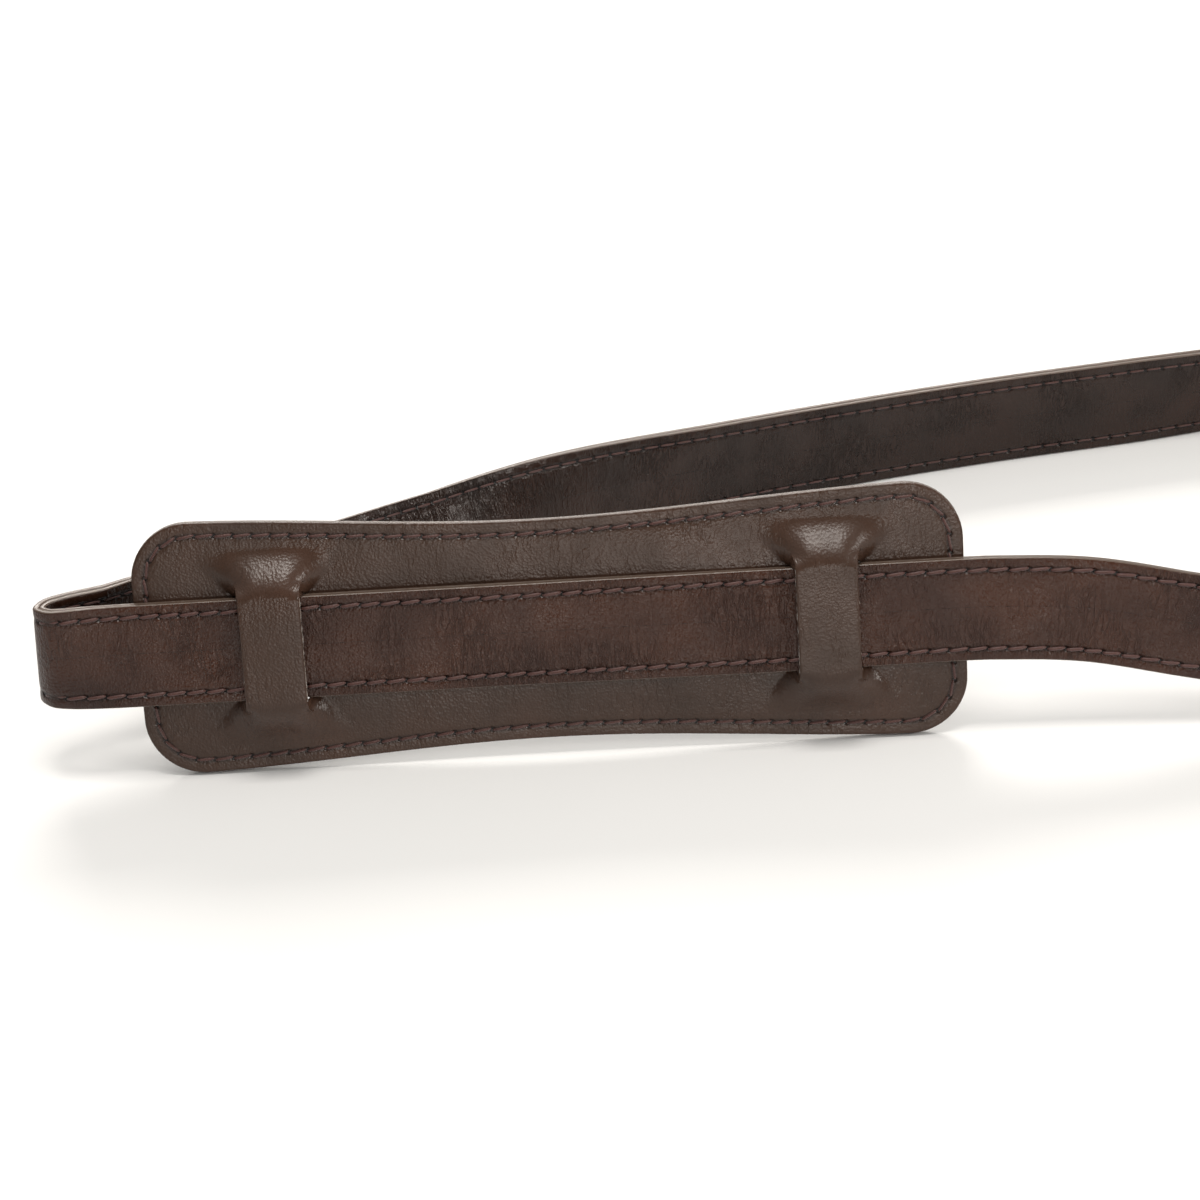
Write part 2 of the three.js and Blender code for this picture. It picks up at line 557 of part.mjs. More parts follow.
// ------------------------------------------------------------------ billet
const billetOuter = BILLET_THICK / 2;
const billetRow = BILLET_WIDTH / 2 - BILLET_THREAD_INSET;

function billetCuts() {
  const [usedFrom, usedTo] = BILLET_USED_HOLE;
  const half = TONGUE_WIDTH / 2 + TONGUE_HOLE_ROOM;
  const used = box(BUCKLE_X + usedFrom, BUCKLE_X + usedTo, BUCKLE_Y - half, BUCKLE_Y + half, -CUT, CUT);
  const middle = BUCKLE_X + (usedFrom + usedTo) / 2;
  const spare = [-3, -2, -1, 1, 2].map((n) => middle + n * BILLET_HOLE_STEP)
    .map((x) => uprightPost(x, BUCKLE_Y, BILLET_HOLE_RADIUS, -CUT, CUT));
  return [used, ...spare, ...rivetBores(REAR_TAB_X, BUCKLE_Y)];
}

function billetFace() {
  const section = groovedSection(billetOuter - BILLET_PLY, billetOuter, BILLET_WIDTH, BILLET_THREAD_INSET);
  return subtractAll(strip(section, billetRoute), billetCuts());
}

function billetLining() {
  const section = liningSection(billetOuter, BILLET_PLY, BILLET_WIDTH);
  return subtractAll(strip(section, billetRoute), billetCuts());
}

function billetThread(row) {
  return strip(threadSection(billetOuter - THREAD_SINK, row), billetRoute);
}

// ----------------------------------------------------------------- keepers
function keeper(at) {
  const half = STRAP_WIDTH / 2 + KEEPER_SIDE_ROOM;
  const low = BUCKLE_LIFT - KEEPER_ROOM;
  const high = BILLET_OVER + BILLET_THICK + KEEPER_ROOM;
  const loop = (grow, corner) => {
    const [x0, x1, y0, y1] = [-half - grow, half + grow, low - grow, high + grow];
    const shape = new THREE.Shape();
    shape.absarc(x1 - corner, y0 + corner, corner, -Math.PI / 2, 0, false);
    shape.absarc(x1 - corner, y1 - corner, corner, 0, Math.PI / 2, false);
    shape.absarc(x0 + corner, y1 - corner, corner, Math.PI / 2, Math.PI, false);
    shape.absarc(x0 + corner, y0 + corner, corner, Math.PI, 1.5 * Math.PI, false);
    return shape;
  };
  const shape = loop(KEEPER_WALL, KEEPER_CORNER);
  shape.holes.push(loop(0, KEEPER_CORNER - KEEPER_WALL + 0.1));
  const options = { depth: KEEPER_WIDTH, bevelEnabled: false, steps: 1, curveSegments: 3 };
  const geometry = new THREE.ExtrudeGeometry(shape, options).rotateX(Math.PI / 2).rotateZ(Math.PI / 2);
  return toSolid(geometry.translate(BUCKLE_X + at - KEEPER_WIDTH / 2, BUCKLE_Y, 0));
}

// ---------------------------------------------------------------- assembly
const guitarStrap = new THREE.Group();

function place(parent, name, solid, material) {
  const mesh = new THREE.Mesh(toGeometry(solid), material);
  mesh.name = name;
  parent.add(mesh);
}

place(guitarStrap, 'strap_face', strapFace(), leather);
place(guitarStrap, 'strap_lining', strapLining(), lining);
place(guitarStrap, 'strap_thread_upper', strip(threadSection(threadTop, threadRow), strapRoute), thread);
place(guitarStrap, 'strap_thread_lower', strip(threadSection(threadTop, -threadRow), strapRoute), thread);

const pad = new THREE.Group();
pad.position.set(FOLD_TO_PAD + PAD_LENGTH / 2, 0, RUN_CENTRE);
pad.rotation.x = Math.PI / 2 - lean;
place(pad, 'pad_face', padFace(), padLeather);
place(pad, 'pad_lining', padPly(0, PAD_LINING_PLY), lining);
place(pad, 'pad_thread', padThread(), thread);
guitarStrap.add(pad);

place(guitarStrap, 'front_end_tab', endTab(FRONT_TAB_X, FRONT_TAB_Y), leather);
for (const [i, at] of TAB_RIVETS_AT.entries()) {
  place(guitarStrap, `front_tab_rivet_${i + 1}`, rivet(FRONT_TAB_X + at, FRONT_TAB_Y, STRAP_THICK), brass);
}

const buckle = new THREE.Group();
buckle.position.set(BUCKLE_X, BUCKLE_Y, HEEL_BAR_Z);
const raised = new THREE.Group();
raised.rotation.y = -THREE.MathUtils.degToRad(FRAME_TILT);
place(raised, 'buckle_frame', frame(), brass);
place(raised, 'buckle_roller', roller(), brass);
buckle.add(raised);
place(buckle, 'buckle_chape', chape(), leather);
place(buckle, 'buckle_tongue', tongue(), brass);
guitarStrap.add(buckle);

place(guitarStrap, 'fixed_keeper', keeper(FIXED_KEEPER_AT), leather);
place(guitarStrap, 'sliding_keeper', keeper(SLIDING_KEEPER_AT), leather);
place(guitarStrap, 'billet_face', billetFace(), leather);
place(guitarStrap, 'billet_lining', billetLining(), lining);
place(guitarStrap, 'billet_thread_upper', billetThread(billetRow), thread);
place(guitarStrap, 'billet_thread_lower', billetThread(-billetRow), thread);
place(guitarStrap, 'rear_end_tab', endTab(REAR_TAB_X, BUCKLE_Y), leather);
for (const [i, at] of TAB_RIVETS_AT.entries()) {
  place(guitarStrap, `rear_tab_rivet_${i + 1}`, rivet(REAR_TAB_X + at, BUCKLE_Y, BILLET_THICK), brass);
}

// The origin goes to the middle of the layout, on the table.
const layout = new THREE.Box3().setFromObject(guitarStrap, true);
const middle = layout.getCenter(new THREE.Vector3());
guitarStrap.position.set(-middle.x, -middle.y, -layout.min.z);
guitarStrap.updateMatrixWorld(true);

export default guitarStrap;
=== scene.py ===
import math
import random

import bmesh
import bpy
from mathutils import Matrix, Quaternion, Vector
from mathutils.kdtree import KDTree


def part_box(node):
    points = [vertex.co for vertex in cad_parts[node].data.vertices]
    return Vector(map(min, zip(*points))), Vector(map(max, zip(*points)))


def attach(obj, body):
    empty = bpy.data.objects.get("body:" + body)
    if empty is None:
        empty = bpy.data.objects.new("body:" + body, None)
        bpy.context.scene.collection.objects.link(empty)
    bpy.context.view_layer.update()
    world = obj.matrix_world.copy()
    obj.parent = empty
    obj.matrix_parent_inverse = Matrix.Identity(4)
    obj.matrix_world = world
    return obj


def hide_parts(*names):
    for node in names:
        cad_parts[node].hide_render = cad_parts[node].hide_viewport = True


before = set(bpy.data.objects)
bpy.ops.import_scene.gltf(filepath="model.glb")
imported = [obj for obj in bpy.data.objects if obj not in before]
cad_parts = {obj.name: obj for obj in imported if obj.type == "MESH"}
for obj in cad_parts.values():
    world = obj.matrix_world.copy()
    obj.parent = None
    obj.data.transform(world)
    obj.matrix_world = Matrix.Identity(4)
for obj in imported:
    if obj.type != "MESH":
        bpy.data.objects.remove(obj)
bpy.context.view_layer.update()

# ------------------------------------------------------------------ camera
# The camera looks down on the pad from the front, close to square on, and
# is turned a little so that the strap climbs to the right.
AIM = Vector((-0.1787, -0.0745, 0.0391))
CAMERA_AZIMUTH = math.radians(1.3)
CAMERA_ELEVATION = math.radians(31.5)
CAMERA_ROLL = math.radians(-3.9)
CAMERA_DISTANCE = 0.764
LENS_MM = 97.3

away = Vector((math.sin(CAMERA_AZIMUTH) * math.cos(CAMERA_ELEVATION),
               -math.cos(CAMERA_AZIMUTH) * math.cos(CAMERA_ELEVATION),
               math.sin(CAMERA_ELEVATION)))
camera = bpy.data.objects.new("camera", bpy.data.cameras.new("camera"))
camera.data.lens = LENS_MM
camera.data.sensor_width = 36
camera.rotation_mode = "QUATERNION"
camera.location = AIM + away * CAMERA_DISTANCE
camera.rotation_quaternion = (-away).to_track_quat("-Z", "Y") @ Quaternion((0, 0, 1), CAMERA_ROLL)
bpy.context.collection.objects.link(camera)
bpy.context.scene.camera = camera

# ------------------------------------------------------- floor and lights
# A white studio table and white surroundings. The main soft box is behind
# the strap and lights its upper edges; one overhead, a low one at the right
# and a faint strip in front fill in.
bpy.context.scene.view_settings.view_transform = "Standard"


def linear(hex_colour):
    """An sRGB hex colour as a linear RGBA."""
    channels = [int(hex_colour[i:i + 2], 16) / 255 for i in (0, 2, 4)]
    return tuple(c / 12.92 if c <= 0.04045 else ((c + 0.055) / 1.055) ** 2.4 for c in channels) + (1,)


def add(tree, kind, inputs=None, **options):
    """A shader node with its options; each input is a value, a socket, or a
    node whose first output feeds it."""
    node = tree.nodes.new(kind)
    for name, value in options.items():
        setattr(node, name, value)
    for socket, value in (inputs or {}).items():
        if isinstance(value, bpy.types.Node):
            value = next(output for output in value.outputs if output.enabled)
        if isinstance(value, bpy.types.NodeSocket):
            tree.links.new(value, node.inputs[socket])
        else:
            node.inputs[socket].default_value = value
    return node


def new_material(name):
    """An empty node material: (material, node tree)."""
    material = bpy.data.materials.new(name)
    material.use_nodes = True
    material.node_tree.nodes.clear()
    return material, material.node_tree


def table_laminate():
    """White matt laminate: pale, even, with hardly any gloss."""
    material, tree = new_material("white_table_laminate")
    place = add(tree, "ShaderNodeTexCoord").outputs["Object"]
    cloud = add(tree, "ShaderNodeTexNoise", {"Scale": 6, "Detail": 2, "Vector": place})
    tone = add(tree, "ShaderNodeMix", {"Factor": cloud, "A": linear("d8dada"), "B": linear("dedfe0")},
               data_type="RGBA")
    shader = add(tree, "ShaderNodeBsdfPrincipled", {"Roughness": 0.8, "Base Color": tone})
    add(tree, "ShaderNodeOutputMaterial", {"Surface": shader})
    return material


FLOOR_HALF_SIZE = 6.0

floor_mesh = bmesh.new()
bmesh.ops.create_grid(floor_mesh, x_segments=1, y_segments=1, size=FLOOR_HALF_SIZE)
floor_data = bpy.data.meshes.new("table_top")
floor_mesh.to_mesh(floor_data)
floor_mesh.free()
floor_data.materials.append(table_laminate())
table_top = bpy.data.objects.new("table_top", floor_data)
bpy.context.collection.objects.link(table_top)

ROOM_AROUND = 0.5               # white walls and ceiling
ROOM_IN_FRONT = 0.05            # the unlit room on the camera's side

world = bpy.data.worlds.new("white_room")
world.use_nodes = True
background = world.node_tree.nodes["Background"]
background.inputs["Color"].default_value = linear("fdfcfa")
toward = add(world.node_tree, "ShaderNodeSeparateXYZ",
             {"Vector": add(world.node_tree, "ShaderNodeTexCoord").outputs["Generated"]})
in_front = add(world.node_tree, "ShaderNodeMapRange", {"From Min": -0.9, "From Max": -0.35,
               "To Min": ROOM_IN_FRONT, "To Max": ROOM_AROUND, "Value": toward.outputs["Y"]},
               interpolation_type="SMOOTHSTEP")
world.node_tree.links.new(in_front.outputs[0], background.inputs["Strength"])
bpy.context.scene.world = world


def soft_box(name, place, aim, width, height, power):
    """A rectangular soft light at a place, facing a point."""
    light = bpy.data.lights.new(name, "AREA")
    light.shape = "RECTANGLE"
    light.size = width
    light.size_y = height
    light.energy = power
    light.color = linear("fff9f2")[:3]
    lamp = bpy.data.objects.new(name, light)
    lamp.location = place
    lamp.rotation_mode = "QUATERNION"
    lamp.rotation_quaternion = (Vector(aim) - Vector(place)).to_track_quat("-Z", "Y")
    bpy.context.collection.objects.link(lamp)


soft_box("overhead_box", (-0.15, -0.05, 1.25), (-0.15, -0.02, 0), 0.6, 0.4, 11)
soft_box("back_box", (-0.3, 1.2, 0.95), (-0.2, 0, 0.03), 0.9, 0.5, 21)
soft_box("front_strip", (-0.1, -1.2, 0.25), (-0.15, -0.05, 0.03), 0.5, 0.08, 2.4)
soft_box("side_box", (0.6, -0.45, 0.39), (-0.2, 0, 0.03), 0.25, 0.2, 3)

# --------------------------------------------------------- strap, two plies
# The strap is two strips of brown cowhide, a finished face and a thinner
# glazed lining, glued back to back and sewn along both edges. It lies on
# the table at its ends and stands on edge along the pad and round the fold.
MM = 0.001
STRAP_WIDTH = 25.0
STRAP_THICK = 2.9
STRAP_MEETING = -0.1            # height of the glue line above the middle
STITCH_PITCH = 4.77
STRAP_ROW = STRAP_WIDTH / 2 - 2.9
EDGE_ROUND = 0.5                # rubbed-down outer corner of a cut edge
GLUE_NIP = 0.14                 # fine groove where two plies meet
LANE_ALONG = STITCH_PITCH / 8

RUN_LEAN = 17.0
RUN_CENTRE = 31.0
RUN_LIFT = (RUN_CENTRE - STRAP_WIDTH / 2 * math.cos(math.radians(RUN_LEAN))
            - STRAP_THICK / 2 * math.sin(math.radians(RUN_LEAN)))

# x, y, height of the lowest edge, and lean in degrees: 0 stands on edge and
# 90 lies flat with its face up. From the front end, round the fold, to the
# buckle.
STRAP_ROUTE = [
    (462, 3, 3.3, 90), (435, 3, 3.3, 90), (421, 3, 3.3, 90), (395, 3, 2.2, 90), (370, 1.5, 0.8, 80),
    (345, -0.5, 0.8, 58), (320, -2, 2.5, 34), (298, -2.5, 6.5, 20), (275, -2, 11.8, 19),
    (250, -0.6, RUN_LIFT - 1.6, 18.5), (229, 0, RUN_LIFT - 0.2, 17), (222, 0, RUN_LIFT, 16.5),
    (200, 0, RUN_LIFT, 17.5), (170, 0, RUN_LIFT, 20), (115, 0, RUN_LIFT, 15.5), (60, 0, RUN_LIFT, 16.5),
    (30, 0, RUN_LIFT, 17.5), (20, 0, RUN_LIFT, 17.5), (14, -0.1, RUN_LIFT, 15.5),
    (8, -0.2, RUN_LIFT, 11), (4.2, 0.4, RUN_LIFT, 8), (1.6, 3.3, RUN_LIFT - 0.1, 4),
    (3.4, 6.6, RUN_LIFT - 0.1, 2), (8, 8.9, RUN_LIFT - 0.2, 0), (16.5, 12.1, RUN_LIFT - 0.5, 0),
    (26.9, 17.4, RUN_LIFT - 1.1, -10), (61.1, 39.6, RUN_LIFT - 4.2, -29), (94.1, 64.5, 10.1, -29),
    (124.8, 86.1, 5.9, -13), (162.6, 104.4, 1.7, -2), (195.4, 115.3, 0.3, 0), (239.3, 124.9, 0.1, 0),
    (283.3, 132.2, 0.1, 0), (305, 136, 0.1, 4), (328, 139.6, 0.4, 25), (350, 142.6, 0.7, 52),
    (372, 144.8, 1.1, 78), (388, 146, 1.7, 90), (394, 146, 1.7, 90), (458, 146, 1.7, 90),
    (464.65, 146, 1.7, 90),
]

# The model is drawn in millimetres from the fold and the table. The frame's
# own origin is found from the front end tab, whose tip and middle are known.
FRONT_TAB_TIP = Vector((505.5, 3.0, 0.0))
tab_low, tab_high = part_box("front_end_tab")
TO_FRAME = Matrix.Translation(
    Vector((tab_high.x, (tab_low.y + tab_high.y) / 2, 0)) - FRONT_TAB_TIP * MM) @ Matrix.Scale(MM, 4)


def curve_point(points, gap, part):
    """A point on the smooth curve through points, a part of the way along one gap."""
    p0, p1, p2, p3 = points[gap:gap + 4]
    d0, d1, d2 = (max((b - a).length ** 0.5, 1e-4) for a, b in ((p0, p1), (p1, p2), (p2, p3)))
    leaving = ((p1 - p0) / d0 - (p2 - p0) / (d0 + d1) + (p2 - p1) / d1) * d1
    arriving = ((p2 - p1) / d1 - (p3 - p1) / (d1 + d2) + (p3 - p2) / d2) * d1
    bend = -3 * p1 + 3 * p2 - 2 * leaving - arriving
    swing = 2 * p1 - 2 * p2 + leaving + arriving
    return p1 + (leaving + (bend + swing * part) * part) * part


class Route:
    """Where a strip lies: its middle line, the way its face looks and the way its edge points."""

    STEPS = 12

    def __init__(self, rows, width, thick):
        points = [Vector(row[:3]) for row in rows]
        points = [2 * points[0] - points[1]] + points + [2 * points[-1] - points[-2]]
        self.centres, self.leans, self.reached = [], [], [0.0]
        for gap, (row, following) in enumerate(zip(rows, rows[1:])):
            last = gap == len(rows) - 2
            for step in range(self.STEPS + last):
                part = step / self.STEPS
                lean = math.radians(row[3] + (following[3] - row[3]) * part)
                rise = width / 2 * math.cos(lean) + thick / 2 * math.sin(lean)
                self.centres.append(curve_point(points, gap, part) + Vector((0, 0, rise)))
                self.leans.append(lean)
        for a, b in zip(self.centres, self.centres[1:]):
            self.reached.append(self.reached[-1] + (b - a).length)
        self.length = self.reached[-1]

    def at(self, distance):
        """The middle, face direction and edge direction at a distance along the strip."""
        low, high = 0, len(self.reached) - 2
        while low < high:
            middle = (low + high + 1) // 2
            if self.reached[middle] <= distance:
                low = middle
            else:
                high = middle - 1
        span = self.reached[low + 1] - self.reached[low]
        part = (distance - self.reached[low]) / span
        centre = self.centres[low].lerp(self.centres[low + 1], part)
        lean = self.leans[low] + (self.leans[low + 1] - self.leans[low]) * part
        before = self.tangent(low)
        along = before.lerp(self.tangent(low + 1), part).normalized()
        level = Vector((0, 0, 1)).cross(along).normalized()
        rise = along.cross(level)
        face = level * math.cos(lean) + rise * math.sin(lean)
        edge = rise * math.cos(lean) - level * math.sin(lean)
        return centre, face, edge

    def tangent(self, i):
        """The strip's direction at one of its centres."""
        return (self.centres[min(i + 1, len(self.centres) - 1)] - self.centres[max(i - 1, 0)]).normalized()

    def point(self, distance, across, height):
        """A point of the flat strip, carried to where the strip lies."""
        centre, face, edge = self.at(distance)
        return centre + face * height + edge * across


def lanes(stops, step):
    """Even lanes between stops, none wider than step."""
    out = [stops[0]]
    for a, b in zip(stops, stops[1:]):
        count = max(1, math.ceil((b - a) / step - 1e-6))
        out += [a + (b - a) * i / count for i in range(1, count + 1)]
    return out


def ply_section(meeting, outer, width, row):
    """Once round one ply: (height, across, worked), worked where the outer skin is."""
    side = math.copysign(1, outer - meeting)
    half = width / 2
    foot = [(meeting, GLUE_NIP - half, False), (meeting + side * GLUE_NIP, -half, False)]
    corner = []
    for degrees in (0, 30, 60):
        turn = math.radians(degrees)
        corner.append((outer - side * EDGE_ROUND * (1 - math.sin(turn)),
                       EDGE_ROUND * (1 - math.cos(turn)) - half, True))
    margin = lanes([EDGE_ROUND - half, 2.2 - row], 0.42)
    middle = lanes([2.2 - row, row - 2.2], 1.3)[1:-1]
    across = [(outer, w, True) for w in margin + middle + [-w for w in reversed(margin)]]
    near_side = foot + corner
    far_side = [(h, -w, worked) for h, w, worked in reversed(near_side)]
    under = [(meeting, w, False) for w in reversed(lanes([GLUE_NIP - half, half - GLUE_NIP], 5)[1:-1])]
    return near_side + across + far_side + under


def face_seam_relief(phase, off):
    """Height that a row of thick stitches takes off the face, in mm: a shallow
    trough, a dimple at each hole and a pillow of leather beside each stitch."""
    hole = (phase - round(phase)) * STITCH_PITCH
    trough = 0.14 * math.exp(-(off / 1.0) ** 2)
    dimple = 0.32 * math.exp(-(hole / 0.55) ** 2 - (off / 0.6) ** 2)
    pillow = 0.13 * (0.5 + 0.5 * math.cos(2 * math.pi * phase)) * math.exp(-((abs(off) - 1.15) / 0.5) ** 2)
    return trough + dimple - pillow


def lining_seam_relief(phase, off):
    """The lining side of the same row: a cut-in thread with a bead pushed up
    beside each stitch."""
    hole = (phase - round(phase)) * STITCH_PITCH
    trough = 0.16 * math.exp(-(off / 0.7) ** 2)
    bead = 0.24 * math.exp(-(hole / 0.75) ** 2 - ((abs(off) - 1.3) / 0.45) ** 2)
    return trough - bead


def ply(route, section, rows, relief, lane_along):
    """A strip's ply: a skin rolled once round its section, laid along its route.
    Its flat place and its place along the nearest seam are kept on each vertex."""
    bm = bmesh.new()
    columns = lanes([0, route.length], lane_along)
    bmesh.ops.create_grid(bm, x_segments=len(columns) - 1, y_segments=len(section), size=1)
    flat = bm.verts.layers.float_vector.new("flat")
    seam = bm.verts.layers.float_vector.new("seam")
    places = [route.at(distance) for distance in columns]
    outer = max((h for h, _, worked in section if worked), key=abs)
    side = math.copysign(1, outer - section[0][0])
    for v in bm.verts:
        i = round((v.co.x + 1) / 2 * (len(columns) - 1))
        j = round((v.co.y + 1) / 2 * len(section)) % len(section)
        height, across, worked = section[j]
        distance = columns[i]
        row = min(rows, key=lambda r: abs(across - r))
        phase, off = distance / STITCH_PITCH, across - row
        if worked:
            height -= side * relief(phase, off)
        centre, face, edge = places[i]
        v.co = centre + face * height + edge * across
        v[flat] = (distance, across, height)
        v[seam] = (phase, off, 0)
    bmesh.ops.remove_doubles(bm, verts=bm.verts, dist=1e-4)
    bmesh.ops.holes_fill(bm, edges=[e for e in bm.edges if e.is_boundary], sides=0)
    bmesh.ops.recalc_face_normals(bm, faces=bm.faces)
    half = max(w for _, w, _ in section)
    for f in bm.faces:
        at_side = min(abs(v[flat].y) for v in f.verts) > half - EDGE_ROUND * 0.55
        f.material_index = int(at_side or len(f.verts) > 4)
    return bm


def make_piece(bm, name, materials, body, nodes=(), sharp=50):
    """A finished piece: moved into the frame, smooth but for its sharp edges,
    riding on a body and standing for its CAD nodes."""
    bmesh.ops.transform(bm, matrix=TO_FRAME, verts=bm.verts)
    for e in bm.edges:
        e.smooth = e.calc_face_angle(0) < math.radians(sharp)
    for f in bm.faces:
        f.smooth = True
    mesh = bpy.data.meshes.new(name)
    bm.to_mesh(mesh)
    bm.free()
    for material in materials:
        mesh.materials.append(material)
    piece = bpy.data.objects.new(name, mesh)
    bpy.context.collection.objects.link(piece)
    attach(piece, body)
    if nodes:
        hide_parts(*nodes)
    return piece


HOLE_LONG = 0.65                # needle hole, along and across the seam
HOLE_WIDE = 0.6
HOLE_DEEP = 0.25
TROUGH_SHADE = 0.45             # painted shade in the sewn trough, as a share of a hole's
SWELL = 1.0                     # height of the hide's broad undulation
SWELL_ACROSS = 26.0
PEBBLE_ACROSS = 0.62
DRIFT = 2.2                     # how far a wrinkle wanders, and over what length
DRIFT_ACROSS = 7.0
WRINKLE_HALF = 0.07             # half a wrinkle's width, of its spacing
WRINKLED_PATCH = 16.0           # size of the patches that wrinkle
MOTTLE_ACROSS = 22.0            # size of the hide's darker clouds


def hide(name, colour, deep, roughness, grain, wrinkle, wrinkle_size, slope):
    """Cowhide in millimetres of its flat cut. grain and wrinkle are heights;
    wrinkle_size is a wrinkle's spacing along and length across the strip, and
    slope its slant in degrees."""
    material, tree = new_material(name)
    flat = add(tree, "ShaderNodeAttribute", attribute_name="flat").outputs["Vector"]
    seam = add(tree, "ShaderNodeAttribute", attribute_name="seam").outputs["Vector"]
    seam_parts = add(tree, "ShaderNodeSeparateXYZ", {"Vector": seam})

    # Hair pores and the fine pebble between them, drawn a little coarser
    # than the 0.2 mm of real finished grain so that they show.
    pebble = add(tree, "ShaderNodeTexVoronoi", {"Scale": 1 / PEBBLE_ACROSS, "Vector": flat})
    # Broad soft undulation left by the hide's stretch, which breaks up the gloss.
    swell = add(tree, "ShaderNodeTexNoise", {"Scale": 1 / SWELL_ACROSS, "Detail": 1, "Vector": flat})
    # Wrinkles run across the strip, crooked and broken.
    drift = add(tree, "ShaderNodeTexNoise", {"Scale": 1 / DRIFT_ACROSS, "Detail": 2, "Vector": flat})
    crooked = add(tree, "ShaderNodeVectorMath", {0: drift.outputs["Color"], 1: (DRIFT, DRIFT, DRIFT),
                  2: flat}, operation="MULTIPLY_ADD")
    stretched = add(tree, "ShaderNodeMapping", {"Rotation": (0, 0, math.radians(slope)),
                    "Scale": (1 / wrinkle_size[0], 1 / wrinkle_size[1], 1 / wrinkle_size[1]),
                    "Vector": crooked})
    folds = add(tree, "ShaderNodeTexNoise", {"Scale": 1.0, "Detail": 3, "Roughness": 0.6,
                "Vector": stretched})
    centred = add(tree, "ShaderNodeMath", {0: folds, 1: 0.5}, operation="SUBTRACT")
    valley = add(tree, "ShaderNodeMath", {0: centred}, operation="ABSOLUTE")
    sharp = add(tree, "ShaderNodeMapRange", {"From Max": WRINKLE_HALF, "To Min": 1.0, "To Max": 0.0,
                "Value": valley}, interpolation_type="SMOOTHSTEP")
    patch = add(tree, "ShaderNodeTexNoise", {"Scale": 1 / WRINKLED_PATCH, "Detail": 2, "Vector": flat})
    broken = add(tree, "ShaderNodeMapRange", {"From Min": 0.4, "From Max": 0.62, "Value": patch})
    line = add(tree, "ShaderNodeMath", {0: sharp, 1: broken}, operation="MULTIPLY")

    # Needle holes: painted shade, a near-black pit on the seam line at each whole phase,
    # and fainter painted shade in the trough between them; the pit also sinks the bump.
    turn = add(tree, "ShaderNodeMath", {0: seam_parts.outputs["X"], 1: 0.5}, operation="PINGPONG")
    along = add(tree, "ShaderNodeMath", {0: turn, 1: STITCH_PITCH / HOLE_LONG}, operation="MULTIPLY")
    aside = add(tree, "ShaderNodeMath", {0: seam_parts.outputs["Y"], 1: 1 / HOLE_WIDE},
                operation="MULTIPLY")
    aside_squared = add(tree, "ShaderNodeMath", {0: aside, 1: aside}, operation="MULTIPLY")
    from_hole = add(tree, "ShaderNodeMath", {0: along, 1: along, 2: aside_squared},
                    operation="MULTIPLY_ADD")
    hole = add(tree, "ShaderNodeMapRange", {"From Min": 0.2, "From Max": 2.2, "To Min": 1.0,
               "To Max": 0.0, "Value": from_hole}, interpolation_type="SMOOTHSTEP")
    trough = add(tree, "ShaderNodeMapRange", {"From Min": 0.0, "From Max": 3.0, "To Min": TROUGH_SHADE,
                 "To Max": 0.0, "Value": aside_squared}, interpolation_type="SMOOTHSTEP")
    painted_seam_shade = add(tree, "ShaderNodeMath", {0: hole, 1: trough}, operation="MAXIMUM")

    mottle = add(tree, "ShaderNodeTexNoise", {"Scale": 1 / MOTTLE_ACROSS, "Detail": 3, "Vector": flat})
    spread = add(tree, "ShaderNodeMapRange", {"From Min": 0.3, "From Max": 0.7, "Value": mottle})
    tone = add(tree, "ShaderNodeMix", {"A": linear(colour), "B": linear(deep), "Factor": spread},
               data_type="RGBA")
    # Painted shade: the wrinkle creases are darkened halfway to the deep colour.
    painted_crease_shade = add(tree, "ShaderNodeMath", {0: line, 1: 0.5}, operation="MULTIPLY")
    tone_with_painted_crease_shade = add(tree, "ShaderNodeMix", {"B": linear(deep), "Factor": painted_crease_shade, "A": tone},
                data_type="RGBA")
    # painted shade of the needle holes and sewn trough, mixed toward near-black
    tone_with_painted_seam_shade = add(tree, "ShaderNodeMix", {"B": linear("0e0706"), "Factor": painted_seam_shade, "A": tone_with_painted_crease_shade},
                 data_type="RGBA")
    worn = add(tree, "ShaderNodeMapRange", {"From Min": 0.3, "From Max": 0.7, "To Min": roughness - 0.06,
               "To Max": roughness + 0.08, "Value": mottle})

    # Heights in millimetres, added one on another.
    height = 0.0
    for layer, tall in ((pebble, grain), (swell, SWELL), (folds, wrinkle * 1.5), (line, -wrinkle),
                        (hole, -HOLE_DEEP)):
        height = add(tree, "ShaderNodeMath", {0: layer, 1: tall, 2: height}, operation="MULTIPLY_ADD")
    relief = add(tree, "ShaderNodeBump", {"Strength": 1.0, "Distance": MM, "Height": height})
    shader = add(tree, "ShaderNodeBsdfPrincipled", {"IOR": 1.5, "Specular IOR Level": 0.34,
                 "Base Color": tone_with_painted_seam_shade, "Roughness": worn, "Normal": relief})
    add(tree, "ShaderNodeOutputMaterial", {"Surface": shader})
    return material


